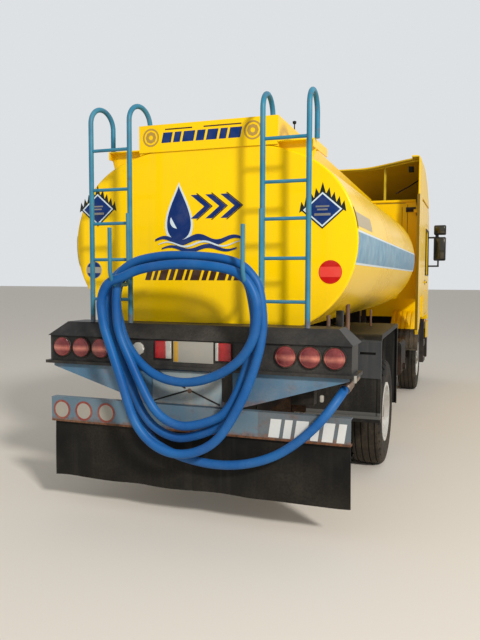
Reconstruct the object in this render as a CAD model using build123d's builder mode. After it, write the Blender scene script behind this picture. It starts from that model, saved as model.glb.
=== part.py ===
from build123d import *
from math import cos, hypot, radians, sin, tan
import os

# Two-axle water tanker truck, in millimetres.
# +X is the truck's right, +Y its front, +Z up; the origin is on the ground under the middle of the whole truck.

# Driving dimensions of the whole vehicle
half_length = 4450
bar_y = -4100
rear_axle_y = -1800
front_axle_y = 3030
body_half_width = 1245

# Tyres and rims
tyre_radius = 540
tyre_width = 300
bead_radius = 290
front_tyre_x = 1020
twin_inner_x = 728
twin_outer_x = 1075

# Chassis
rail_x = 385
rail_flange = 90
rail_wall = 12
rail_top_z = 1040
rail_height = 270
frame_rear_y = -4030
frame_front_y = 4050

# Tank: side arcs blended into wide top and bottom arcs
tank_rear_y = -3743
tank_front_y = 1300
tank_centre_z = 2210
tank_side_x = 506
tank_side_radius = 720
tank_blend = 70
tank_crown_drop = tank_side_x * tan(radians(tank_blend))
tank_crown_radius = tank_side_radius + tank_side_x / cos(radians(tank_blend))

# Walkway coaming on the tank
coaming_half_width = 600
coaming_top_z = 3175
coaming_front_top_z = 3090
coaming_wall = 45
coaming_foot_z = 2880
coaming_front_y = 1150
lid_y = -1250
neck_radius = 270

# Rear end
bar_half_width = 1250
bar_bottom_z = 733
bar_top_z = 936
light_box_bottom_z = 1245
light_box_top_z = 1450
hood_top_z = 1560
ladder_y = -4000
ladder_x = (555, 905)
ladder_radius = 20
rung_radius = 13

# Hose
hose_diameter = 68
hose_radius = hose_diameter / 2

# Cab
cab_rear_y = 2150
cab_floor_z = 1260
cab_rear_floor_z = 1600
floor_step_y = 2940
cab_roof_z = 3190
cab_wall = 60
tilt_pivot = (4100, 700)
door_rear_y = 3240
door_front_y = 4190
door_bottom_z = 1300
door_top_z = 2880
door_gap = 8
screen_low = (4340, 1960)
screen_high = (4200, 2860)

os.makedirs("parts", exist_ok=True)


def save(piece, name):
    """Label a finished piece and write it to its own file."""
    piece.part.label = name
    export_step(piece.part, f"parts/{name}.step")


def side_plane(x):
    """Sketch plane facing +X: its own x runs forward and its own y runs up."""
    return Plane(origin=(x, 0, 0), x_dir=(0, 1, 0), z_dir=(1, 0, 0))


def section_plane(y):
    """Sketch plane across the truck, facing the rear: its own x runs to the right and its own y runs up."""
    return Plane(origin=(0, y, 0), x_dir=(1, 0, 0), z_dir=(0, -1, 0))


# Chassis ladder frame: two channel rails, cross members and the cab's tilt brackets
cross_members = (-3950, -3000, -2350, -1400, -300, 900, 1900, 3950)
with BuildPart() as chassis_frame:
    for side in (-1, 1):
        with BuildSketch(section_plane(frame_front_y)):
            with Locations((side * (rail_x - rail_flange / 2), rail_top_z - rail_height / 2)):
                Rectangle(rail_flange, rail_height)
            with Locations((side * (rail_x - rail_wall - rail_flange / 2), rail_top_z - rail_height / 2)):
                Rectangle(rail_flange, rail_height - 2 * rail_wall, mode=Mode.SUBTRACT)
        extrude(amount=frame_front_y - frame_rear_y)
    for member_y in cross_members:
        with Locations((0, member_y, rail_top_z - rail_height / 2)):
            Box(2 * (rail_x - rail_wall), 60, 150)
    for side in (-1, 1):
        with Locations((side * 340, tilt_pivot[0] - 25, 760)):
            Box(70, 150, 170)
        with Locations((side * 347, cab_rear_y + 70, (rail_top_z + cab_rear_floor_z - 10) / 2)):
            Box(72, 90, cab_rear_floor_z - 10 - rail_top_z)
save(chassis_frame, "chassis_frame")

# Engine with its gearbox: one plain block
with BuildPart() as engine_block:
    with Locations((0, 3150, 850)):
        Box(560, 1250, 560)
    with Locations((0, 2250, 840)):
        Box(420, 560, 420)
save(engine_block, "engine_block")

# Front axle: forged beam with a dropped middle and kingpin eyes
beam_drop_z = 400
kingpin_x = 880
with BuildPart() as front_axle:
    with BuildSketch(section_plane(front_axle_y + 50)):
        with BuildLine():
            Polyline(
                (-kingpin_x, 580),
                (-740, 580),
                (-560, beam_drop_z + 110),
                (560, beam_drop_z + 110),
                (740, 580),
                (kingpin_x, 580),
                (kingpin_x, 490),
                (700, 490),
                (540, beam_drop_z),
                (-540, beam_drop_z),
                (-700, 490),
                (-kingpin_x, 490),
                close=True,
            )
        make_face()
    extrude(amount=100)
    for side in (-1, 1):
        with Locations((side * kingpin_x, front_axle_y, 535)):
            Cylinder(52, 90)
save(front_axle, "front_axle")

# Rear axle: banjo housing with its tubes and spindles
spindle_radius = 55
with BuildPart() as rear_axle:
    with Locations(Plane(origin=(0, rear_axle_y, tyre_radius), z_dir=(1, 0, 0))):
        Cylinder(75, 2 * 820)
        Cylinder(spindle_radius, 2 * 1153)
    with BuildSketch(section_plane(rear_axle_y)):
        with Locations((0, tyre_radius)):
            Circle(225)
    extrude(amount=120, both=True)
    with Locations(Plane(origin=(0, rear_axle_y + 190, tyre_radius + 30), z_dir=(0, 1, 0))):
        Cone(160, 80, 160)
save(rear_axle, "rear_axle")

# Drive shaft from the gearbox to the rear axle, with its flanges
shaft_rear = Vector(0, rear_axle_y + 277, tyre_radius + 32)
shaft_front = Vector(0, 1965, 735)
with BuildPart() as drive_shaft:
    shaft_plane = Plane(origin=shaft_rear, z_dir=(shaft_front - shaft_rear).normalized())
    shaft_length = (shaft_front - shaft_rear).length
    with Locations(shaft_plane):
        Cylinder(55, shaft_length, align=(Align.CENTER, Align.CENTER, Align.MIN))
        Cylinder(85, 30, align=(Align.CENTER, Align.CENTER, Align.MIN))
    with Locations(shaft_plane.offset(shaft_length - 30)):
        Cylinder(85, 30, align=(Align.CENTER, Align.CENTER, Align.MIN))
save(drive_shaft, "drive_shaft")

# Leaf springs: a curved pack over or under each axle end, with its hanger brackets
spring_table = (
    # axle y, half length, seat z, end z
    (front_axle_y, 780, 510 + 90, 720),
    (rear_axle_y, 720, tyre_radius + 75, 730),
)
spring_x = 430
spring_width = 80
with BuildPart() as springs:
    for axle_y, reach, seat_z, end_z in spring_table:
        for side in (-1, 1):
            with BuildSketch(side_plane(side * spring_x)):
                with BuildLine():
                    ThreePointArc((axle_y - reach, end_z), (axle_y, seat_z), (axle_y + reach, end_z))
                    Line((axle_y + reach, end_z), (axle_y + reach, end_z + 25))
                    ThreePointArc((axle_y + reach, end_z + 25), (axle_y, seat_z + 80), (axle_y - reach, end_z + 25))
                    Line((axle_y - reach, end_z + 25), (axle_y - reach, end_z))
                make_face()
            extrude(amount=spring_width / 2, both=True)
            for end in (-1, 1):
                with Locations((side * (rail_x + 42), axle_y + end * (reach - 10), 790)):
                    Box(84, 70, 180)
save(springs, "springs")


# Underrun bar: a channel open to the front, with a light flange along its top
with BuildPart() as underrun_bar:
    with BuildSketch(side_plane(0)):
        with BuildLine():
            Polyline(
                (bar_y, bar_bottom_z),
                (bar_y, bar_top_z),
                (bar_y + 70, bar_top_z),
                (bar_y + 70, bar_top_z - 10),
                (bar_y + 10, bar_top_z - 10),
                (bar_y + 10, bar_bottom_z + 10),
                (bar_y + 70, bar_bottom_z + 10),
                (bar_y + 70, bar_bottom_z),
                close=True,
            )
        make_face()
    extrude(amount=bar_half_width, both=True)
    for side in (-1, 1):
        with Locations((side * 340, bar_y + 40, 850)):
            Box(80, 60, 150)
save(underrun_bar, "underrun_bar")

# Mud flap: one wide rubber sheet hung below the bar, its lower edge a little forward
flap_top_z = bar_bottom_z - 2
flap_bottom_z = 262
with BuildPart() as mud_flap:
    with BuildSketch(side_plane(0)):
        with BuildLine():
            ThreePointArc((bar_y + 25, flap_top_z), (bar_y + 30, 500), (bar_y + 20, flap_bottom_z))
            Line((bar_y + 20, flap_bottom_z), (bar_y + 34, flap_bottom_z))
            ThreePointArc((bar_y + 34, flap_bottom_z), (bar_y + 44, 500), (bar_y + 39, flap_top_z))
            Line((bar_y + 39, flap_top_z), (bar_y + 25, flap_top_z))
        make_face()
    extrude(amount=1230, both=True)
save(mud_flap, "mud_flap")

# Light box with its hipped hood and lower flange
with BuildPart() as light_box:
    with Locations((0, bar_y + 130, (light_box_bottom_z + light_box_top_z) / 2)):
        Box(2 * 1250, 260, light_box_top_z - light_box_bottom_z)
    with BuildSketch(Plane.XY.offset(light_box_top_z)):
        with Locations((0, bar_y + 165)):
            Rectangle(2 * 1262, 370)
    with BuildSketch(Plane.XY.offset(hood_top_z)):
        with Locations((0, bar_y + 220)):
            Rectangle(2 * 1140, 260)
    loft()
    with Locations((0, bar_y + 120, light_box_bottom_z - 12)):
        Box(2 * 1285, 290, 24)
    for side in (-1, 1):
        with Locations((side * 340, bar_y + 170, (rail_top_z + light_box_bottom_z - 24) / 2)):
            Box(90, 180, light_box_bottom_z - 24 - rail_top_z)
save(light_box, "light_box")

# Gusset panel: wedge plates from the box's ends down to the posts, and a centre panel between the posts
with BuildPart() as gusset_panel:
    for side in (-1, 1):
        with BuildSketch(section_plane(bar_y + 30)):
            with BuildLine():
                Polyline(
                    (side * 1230, light_box_bottom_z - 24),
                    (side * 1230, light_box_bottom_z - 50),
                    (side * 620, 1010),
                    (side * 400, 945),
                    (side * 400, light_box_bottom_z - 24),
                    close=True,
                )
            make_face()
        extrude(amount=14)
        with Locations((side * 365, bar_y + 45, 1080)):
            Box(76, 50, 282)
    with Locations((0, bar_y + 27, 1080)):
        Box(2 * 328, 14, 282)
    for side in (-1, 1):
        with BuildSketch(section_plane(bar_y + 21)):
            with BuildLine():
                Polyline(
                    (side * 290, 950),
                    (side * 290, 985),
                    (-side * 270, 1205),
                    (-side * 290, 1205),
                    (-side * 290, 1175),
                    (side * 262, 950),
                    close=True,
                )
            make_face()
        extrude(amount=7)
save(gusset_panel, "gusset_panel")

# Rear lamps: six round, one small round, two square
round_lamps = (770, 950, 1130)
lamp_z = 1358
lamp_radius = 82
with BuildPart() as rear_lamps:
    for side in (-1, 1):
        for lamp_x in round_lamps:
            with BuildSketch(section_plane(bar_y)):
                with Locations((side * lamp_x, lamp_z)):
                    Circle(lamp_radius)
            extrude(amount=14)
            with BuildSketch(section_plane(bar_y - 14)):
                with Locations((side * lamp_x, lamp_z)):
                    Circle(lamp_radius - 8)
            extrude(amount=16, taper=35)
    with BuildSketch(section_plane(bar_y)):
        with Locations((-430, 1368)):
            Circle(50)
    extrude(amount=22)
    for square_x in (-235, 282):
        with Locations((square_x, bar_y - 14, 1360)):
            Box(150, 28, 160)
save(rear_lamps, "rear_lamps")

# Tank: one closed shell with a flat rear face and a dished front end
crown_sweep = 2 * (90 - tank_blend)


def tank_outline(centre_z, inset=0):
    """Four tangent arcs: side, crown, side and floor of the tank's section."""
    side_radius = tank_side_radius - inset
    crown_radius = tank_crown_radius - inset
    CenterArc((tank_side_x, centre_z), side_radius, -tank_blend, 2 * tank_blend)
    CenterArc((0, centre_z - tank_crown_drop), crown_radius, tank_blend, crown_sweep)
    CenterArc((-tank_side_x, centre_z), side_radius, 180 - tank_blend, 2 * tank_blend)
    CenterArc((0, centre_z + tank_crown_drop), crown_radius, 180 + tank_blend, crown_sweep)


with BuildPart() as tank:
    with BuildSketch(section_plane(tank_front_y)):
        with BuildLine():
            tank_outline(tank_centre_z)
        make_face()
    extrude(amount=tank_front_y - tank_rear_y)
    fillet(tank.edges().group_by(Axis.Y)[-1], 60)
    fillet(tank.edges().group_by(Axis.Y)[0], 18)
save(tank, "tank")

# Tank bearers: two long timbers of steel on the rails and saddles under the tank
saddle_places = (-3500, -2400, -1300, -200, 900)
with BuildPart() as tank_bearers:
    for side in (-1, 1):
        with Locations((side * 340, (tank_rear_y + tank_front_y) / 2, rail_top_z + 50)):
            Box(90, tank_front_y - tank_rear_y - 100, 100)
    for saddle_y in saddle_places:
        with BuildSketch(section_plane(saddle_y + 50)):
            with BuildLine():
                Polyline(
                    (-500, 1600),
                    (-500, 1260),
                    (-420, rail_top_z + 100),
                    (420, rail_top_z + 100),
                    (500, 1260),
                    (500, 1600),
                    close=True,
                )
            make_face()
            with BuildLine():
                tank_outline(tank_centre_z)
            make_face(mode=Mode.SUBTRACT)
        extrude(amount=100)
save(tank_bearers, "tank_bearers")

# Walkway coaming, manhole neck and the landing plates with turned-down edges beside the coaming's rear end
landing_width = 285
landing_length = 465
landing_middle_y = tank_rear_y - 20 + landing_length / 2
landing_top_z = 2981
with BuildPart() as walkway:
    with BuildSketch(side_plane(0)):
        with BuildLine():
            Polyline(
                (tank_rear_y, coaming_foot_z),
                (tank_rear_y, coaming_top_z),
                (coaming_front_y, coaming_front_top_z),
                (coaming_front_y, coaming_foot_z),
                close=True,
            )
        make_face()
    extrude(amount=coaming_half_width, both=True)
    with BuildSketch(Plane.XY.offset(coaming_foot_z)):
        with Locations((0, (tank_rear_y + coaming_front_y) / 2)):
            Rectangle(
                2 * (coaming_half_width - coaming_wall),
                coaming_front_y - tank_rear_y - 2 * coaming_wall,
            )
    extrude(amount=coaming_top_z - coaming_foot_z, mode=Mode.SUBTRACT)
    with Locations((0, tank_rear_y - 6, (coaming_top_z + 2955) / 2)):
        Box(2 * coaming_half_width, 12, coaming_top_z - 2955)
    with Locations((0, lid_y, 3040)):
        Cylinder(neck_radius, 120)
    for side in (-1, 1):
        with Locations((side * (coaming_half_width + landing_width / 2), landing_middle_y, landing_top_z - 5)):
            Box(landing_width, landing_length, 10)
        with Locations((side * (coaming_half_width + landing_width - 5), landing_middle_y, landing_top_z - 33)):
            Box(10, landing_length, 66)
        with BuildSketch(section_plane(tank_rear_y + 60)):
            with BuildLine():
                Polyline(
                    (side * coaming_half_width, landing_top_z - 5),
                    (side * (coaming_half_width + landing_width), landing_top_z - 5),
                    (side * (coaming_half_width + landing_width), landing_top_z - 66),
                    (side * 850, 2780),
                    (side * 700, 2780),
                    (side * coaming_half_width, coaming_foot_z),
                    close=True,
                )
            make_face()
        extrude(amount=14)
    with BuildSketch(section_plane(tank_front_y)):
        with BuildLine():
            tank_outline(tank_centre_z)
        make_face()
    extrude(amount=tank_front_y - tank_rear_y, mode=Mode.SUBTRACT)
save(walkway, "walkway")

# Manhole lid: a dished cover with its hinge lug and closing bar
with BuildPart() as manhole_lid:
    with BuildSketch(Plane.XY.offset(3101)):
        with Locations((0, lid_y)):
            Circle(neck_radius + 18)
    extrude(amount=22)
    with BuildSketch(Plane.XY.offset(3123)):
        with Locations((0, lid_y)):
            Circle(neck_radius - 40)
    extrude(amount=20, taper=40)
    with Locations((0, lid_y + neck_radius + 20, 3114)):
        Box(90, 60, 26)
save(manhole_lid, "manhole_lid")

# Ladders: bent tube rails with goosenecks, and five rungs
rung_heights = (1750, 2070, 2360, 2630, 2945)
neck_rise_z = 3165
neck_reach = 270
land_heights = (coaming_top_z, landing_top_z)
for side, name, neck_lean in ((-1, "ladder_left", 45), (1, "ladder_right", 5)):
    neck_height = hypot(neck_reach, neck_lean) / 2
    with BuildPart() as ladder:
        for rail, land_z in zip(ladder_x, land_heights):
            with BuildLine() as rail_line:
                Line((side * rail, ladder_y, hood_top_z), (side * rail, ladder_y, neck_rise_z))
                ThreePointArc(
                    (side * rail, ladder_y, neck_rise_z),
                    (side * (rail - neck_lean / 2), ladder_y + neck_reach / 2, neck_rise_z + neck_height),
                    (side * (rail - neck_lean), ladder_y + neck_reach, neck_rise_z),
                )
                Line(
                    (side * (rail - neck_lean), ladder_y + neck_reach, neck_rise_z),
                    (side * (rail - neck_lean), ladder_y + neck_reach, land_z),
                )
            with BuildSketch(Plane.XY.offset(hood_top_z)):
                with Locations((side * rail, ladder_y)):
                    Circle(ladder_radius)
            sweep(path=rail_line.wires()[0])
        for rung_z in rung_heights:
            middle_x = side * sum(ladder_x) / 2
            with Locations(Plane(origin=(middle_x, ladder_y, rung_z), z_dir=(1, 0, 0))):
                Cylinder(rung_radius, ladder_x[1] - ladder_x[0])
    save(ladder, name)

# Hose hooks: a tube cradle beside the inner rail of each ladder, the left one bent inwards
hook_radius = 15
hook_front_x = {-1: -480, 1: 555}
hook_bends = (60, 130)
hook_front_y = -half_length + hook_radius
hook_top_front_z = 2290
hook_top_rear_z = 2435
hook_bottom_z = 1870
with BuildPart() as hose_hooks:
    for side in (-1, 1):
        hook_back_y = ladder_y - ladder_radius - hook_radius
        with BuildLine() as hook_line:
            FilletPolyline(
                (side * ladder_x[0], hook_back_y, hook_top_rear_z),
                (side * ladder_x[0], hook_back_y, hook_bottom_z),
                (hook_front_x[side], hook_front_y, hook_bottom_z),
                (hook_front_x[side], hook_front_y, hook_top_front_z),
                radius=hook_bends,
            )
        with BuildSketch(Plane(origin=(side * ladder_x[0], hook_back_y, hook_top_rear_z), z_dir=(0, 0, -1))):
            Circle(hook_radius)
        sweep(path=hook_line.wires()[0])
save(hose_hooks, "hose_hooks")

# Hose coil: the outer shape of its turns, which hang on the hooks and fan out below
coil_back_y = bar_y - 30
coil_front_y = -half_length + 2 * hook_radius + 8
with BuildPart() as hose_coil:
    with BuildSketch(section_plane(coil_back_y)):
        with BuildLine():
            ThreePointArc((-480, 2085), (0, 2142), (480, 2085))
            ThreePointArc((480, 2085), (640, 1960), (702, 1700))
            ThreePointArc((702, 1700), (630, 1150), (400, 785))
            ThreePointArc((400, 785), (0, 590), (-400, 785))
            ThreePointArc((-400, 785), (-630, 1150), (-702, 1700))
            ThreePointArc((-702, 1700), (-640, 1960), (-480, 2085))
        make_face()
        with BuildLine():
            ThreePointArc((-578, 1892), (0, 1978), (578, 1892))
            ThreePointArc((578, 1892), (610, 1800), (620, 1680))
            ThreePointArc((620, 1680), (470, 1330), (0, 1190))
            ThreePointArc((0, 1190), (-470, 1330), (-620, 1680))
            ThreePointArc((-620, 1680), (-610, 1800), (-578, 1892))
        make_face(mode=Mode.SUBTRACT)
    extrude(amount=coil_back_y - coil_front_y)
    add(hose_hooks.part, mode=Mode.SUBTRACT)
save(hose_coil, "hose_coil")

# Hose tail: the free stretch from the outlet to the foot of the coil
tail_points = [
    (1188, -3960, 1136),
    (1171, -4036, 1101),
    (1141, -4096, 1049),
    (1094, -4140, 975),
    (1018, -4170, 880),
    (898, -4174, 765),
    (745, -4172, 650),
    (565, -4172, 572),
    (365, -4174, 530),
    (160, -4172, 528),
    (-40, -4170, 560),
    (-215, -4168, 618),
]


def bend_radii(points):
    """One radius for each corner of a hose's path: 0.45 of the shorter run over the tangent of half the turn."""
    radii = []
    for before, here, after in zip(points, points[1:], points[2:]):
        run_in = Vector(*here) - Vector(*before)
        run_out = Vector(*after) - Vector(*here)
        half_turn = radians(run_in.get_angle(run_out) / 2)
        radii.append(0.45 * min(run_in.length, run_out.length) / tan(half_turn))
    return radii


tail_radii = bend_radii(tail_points)
print("hose bend radii, mm:", [round(radius) for radius in tail_radii])
with BuildPart() as hose_tail:
    with BuildLine() as tail_line:
        FilletPolyline(*tail_points, radius=tail_radii)
    tail_start = Vector(*tail_points[0])
    tail_direction = Vector(*tail_points[1]) - tail_start
    with BuildSketch(Plane(origin=tail_start, z_dir=tail_direction)):
        Circle(hose_radius)
    sweep(path=tail_line.wires()[0])
    add(hose_coil.part, mode=Mode.SUBTRACT)
print("hose tail length, mm:", round(tail_line.wires()[0].length))
save(hose_tail, "hose_tail")

# Outlet pipe: from the tank's floor down, across, and back to the hose coupling
outlet_corner = tail_start - tail_direction.normalized() * 95
outlet_z = outlet_corner.Z
outlet_points = [
    (700, -3640, 1500),
    (700, -3640, outlet_z),
    (outlet_corner.X, -3640, outlet_z),
    outlet_corner,
    tail_start,
]
outlet_radius = 38
with BuildPart() as outlet_pipe:
    with BuildLine() as outlet_line:
        FilletPolyline(*outlet_points, radius=60)
    with BuildSketch(Plane(origin=outlet_points[0], z_dir=(0, 0, -1))):
        Circle(outlet_radius)
    sweep(path=outlet_line.wires()[0])
    with Locations(Plane(origin=tail_start, z_dir=-tail_direction)):
        Cylinder(43, 50, align=(Align.CENTER, Align.CENTER, Align.MIN))
    with Locations(Plane(origin=(950, -3640, outlet_z), z_dir=(1, 0, 0))):
        Cylinder(75, 110)
    with Locations((950, -3640, outlet_z + 100)):
        Cylinder(12, 120)
    with Locations((950, -3640, outlet_z + 160)):
        Cylinder(70, 16)
    with BuildSketch(section_plane(tank_front_y)):
        with BuildLine():
            tank_outline(tank_centre_z)
        make_face()
    extrude(amount=tank_front_y - tank_rear_y, mode=Mode.SUBTRACT)
save(outlet_pipe, "outlet_pipe")

# Rear mudguards: folded sheet boxes over the twin tyres, toed in a little, with a lip round the outer edge
guard_rear_y = -2600
guard_length = 1740
guard_top_z = 1405
guard_foot_z = 590
guard_panel_z = (1000, 1340)
guard_inner_x = 560
guard_outer_x = 1262
guard_sheet = 12
guard_lip = 45
guard_corner = 110
guard_toe = radians(1.2)


def guard_plane(side):
    """Plane of a mudguard's outer edge: its own x runs forward from the rear panel and its own y runs up."""
    return Plane(
        origin=(side * guard_outer_x, guard_rear_y, 0),
        x_dir=(-side * sin(guard_toe), cos(guard_toe), 0),
        z_dir=(cos(guard_toe), side * sin(guard_toe), 0),
    )


for side, name in ((-1, "rear_mudguard_left"), (1, "rear_mudguard_right")):
    with BuildPart() as rear_mudguard:
        for thickness, reach in ((guard_sheet, guard_outer_x - guard_inner_x), (guard_lip, 8)):
            with BuildSketch(guard_plane(side)):
                with BuildLine():
                    guard_line = FilletPolyline(
                        (0, guard_foot_z),
                        (0, guard_top_z),
                        (guard_length, guard_top_z),
                        (guard_length, 460),
                        radius=guard_corner,
                    )
                    offset(guard_line, amount=-thickness, side=Side.RIGHT)
                make_face()
            extrude(amount=-side * reach)
        with BuildSketch(guard_plane(side)):
            with Locations((-5, sum(guard_panel_z) / 2)):
                Rectangle(14, guard_panel_z[1] - guard_panel_z[0])
            with Locations((-8, guard_foot_z + 30)):
                Rectangle(36, 60)
        extrude(amount=-side * (guard_outer_x - guard_inner_x))
        with BuildSketch(guard_plane(side)):
            with Locations((-5, (guard_foot_z + guard_panel_z[1]) / 2)):
                Rectangle(14, guard_panel_z[1] - guard_foot_z)
        extrude(amount=-side * 30)
        with Locations((side * 1138, guard_rear_y, 1232)):
            Box(150, 100, 24, mode=Mode.SUBTRACT)
        for stay_y in (guard_rear_y + 60, guard_rear_y + guard_length - 60):
            with Locations((side * (rail_x + guard_inner_x + 20) / 2, stay_y, 980)):
                Box(guard_inner_x + 20 - rail_x, 50, 50)
            with Locations((side * (guard_inner_x + 20), stay_y, 1180)):
                Box(40, 50, 428)
    save(rear_mudguard, name)

# Fuel tank, air tanks, battery box and silencer on the frame's sides
with BuildPart() as fuel_tank:
    with BuildSketch(section_plane(800)):
        with Locations((-780, 690)):
            RectangleRounded(640, 600, 90)
    extrude(amount=1150)
    for strap_y in (-100, 550):
        with BuildSketch(section_plane(strap_y + 25)):
            with Locations((-780, 690)):
                RectangleRounded(656, 616, 94)
        extrude(amount=50)
        with Locations((-420, strap_y, 850)):
            Box(70, 50, 120)
    with Locations(Plane(origin=(-1100, 620, 850), z_dir=(-1, 0, 0))):
        Cylinder(45, 30)
save(fuel_tank, "fuel_tank")

with BuildPart() as air_tanks:
    for tank_z in (720, 930):
        with Locations(Plane(origin=(560, 60, tank_z), z_dir=(0, 1, 0))):
            Cylinder(98, 820)
    with Locations((440, 60, 905)):
        Box(110, 60, 220)
save(air_tanks, "air_tanks")

with BuildPart() as silencer:
    with Locations((800, 1090, 780)):
        Box(620, 620, 480)
    fillet(silencer.edges().filter_by(Axis.Y), 60)
    with Locations((440, 1090, 900)):
        Box(110, 200, 120)
    with Locations(Plane(origin=(1115, 1090, 640), z_dir=(1, 0, 0))):
        Cylinder(50, 60)
save(silencer, "silencer")

# Front mudguards: ribbed rear quarters behind the steered wheels, carried by the frame
arch_centre = (front_axle_y, tyre_radius)
arch_radius = 800
arch_sheet = 25
guard_angles = (98, 165)
front_guard_x = (760, 1225)
rib_count = 6
stay_angle = radians(150)
stay_y = front_axle_y + (arch_radius + 12) * cos(stay_angle)
stay_z = tyre_radius + (arch_radius + 12) * sin(stay_angle)


def arch_band(inner_radius, outer_radius, trim):
    """Closed band round the wheel arch, its ends cut back by an angle."""
    band_start = guard_angles[0] + trim
    band_sweep = guard_angles[1] - guard_angles[0] - 2 * trim
    inner_arc = CenterArc(arch_centre, inner_radius, band_start, band_sweep)
    outer_arc = CenterArc(arch_centre, outer_radius, band_start, band_sweep)
    Line(inner_arc @ 0, outer_arc @ 0)
    Line(inner_arc @ 1, outer_arc @ 1)


for side, name in ((-1, "front_mudguard_left"), (1, "front_mudguard_right")):
    with BuildPart() as front_mudguard:
        guard_width = front_guard_x[1] - front_guard_x[0]
        with BuildSketch(side_plane(side * front_guard_x[0])):
            with BuildLine():
                arch_band(arch_radius, arch_radius + arch_sheet, 0)
            make_face()
        extrude(amount=side * guard_width)
        rib_pitch = guard_width / rib_count
        for rib in range(rib_count):
            with BuildSketch(side_plane(side * (front_guard_x[0] + rib_pitch * (rib + 0.25)))):
                with BuildLine():
                    arch_band(arch_radius + arch_sheet - 5, arch_radius + arch_sheet + 20, 2)
                make_face()
            extrude(amount=side * rib_pitch / 2)
        with Locations((side * (rail_x + front_guard_x[0]) / 2, stay_y, stay_z)):
            Box(front_guard_x[0] - rail_x, 44, 44)
    save(front_mudguard, name)

# Bumper: a curved shell wrapped round to the steps, with openings for the headlamps
bumper_top_z = 1130
bumper_wall = 40
tow_x = -300
tow_outer_radius = 45
tow_bore_radius = 22
with BuildPart() as bumper:
    with BuildSketch(side_plane(0)):
        with BuildLine():
            Polyline(
                (half_length - 60, 430),
                (half_length, 560),
                (half_length, 850),
                (half_length - 45, 1060),
                (half_length - 110, bumper_top_z),
                (4170, bumper_top_z - 40),
                (4170, 430),
                close=True,
            )
        make_face()
    extrude(amount=body_half_width, both=True)
    fillet(bumper.edges().filter_by(Axis.Z).group_by(Axis.Y)[-1], 90)
    with Locations((0, 4170, 770)):
        Box(2 * (body_half_width - bumper_wall), 2 * (half_length - 4170 - 65), 620, mode=Mode.SUBTRACT)
    for side in (-1, 1):
        with Locations((side * 955, half_length - 20, 930)):
            Box(400, 190, 210, mode=Mode.SUBTRACT)
        with Locations((side * 345, 4268, 700)):
            Box(70, 236, 160)
    with Locations((0, half_length, 650)):
        Box(900, 60, 130, mode=Mode.SUBTRACT)
    with Locations(Plane(origin=(tow_x, half_length - 30, 650), z_dir=(0, 1, 0))):
        Cylinder(tow_outer_radius, 260, mode=Mode.SUBTRACT)
save(bumper, "bumper")

with BuildPart() as tow_socket:
    with BuildSketch(section_plane(half_length - 30)):
        with Locations((tow_x, 650)):
            Circle(tow_outer_radius)
            Circle(tow_bore_radius, mode=Mode.SUBTRACT)
    extrude(amount=120)
save(tow_socket, "tow_socket")

with BuildPart() as headlamps:
    for side in (-1, 1):
        with BuildSketch(side_plane(side * 757)):
            with BuildLine():
                Polyline(
                    (4350, 827),
                    (half_length - 8, 827),
                    (half_length - 8, 850),
                    (half_length - 45, 1033),
                    (4350, 1033),
                    close=True,
                )
            make_face()
        extrude(amount=side * 396)
save(headlamps, "headlamps")

# Steps: two-tread boxes between the bumper's ends and the front wheels
for side, name in ((-1, "steps_left"), (1, "steps_right")):
    with BuildPart() as steps:
        with Locations((side * 1020, 3935, 770)):
            Box(400, 450, 780)
        for tread_z in (560, 880):
            with Locations((side * 1170, 3935, tread_z)):
                Box(160, 380, 230, mode=Mode.SUBTRACT)
        with Locations((side * 620, 3935, 900)):
            Box(470, 120, 100)
    save(steps, name)

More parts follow.
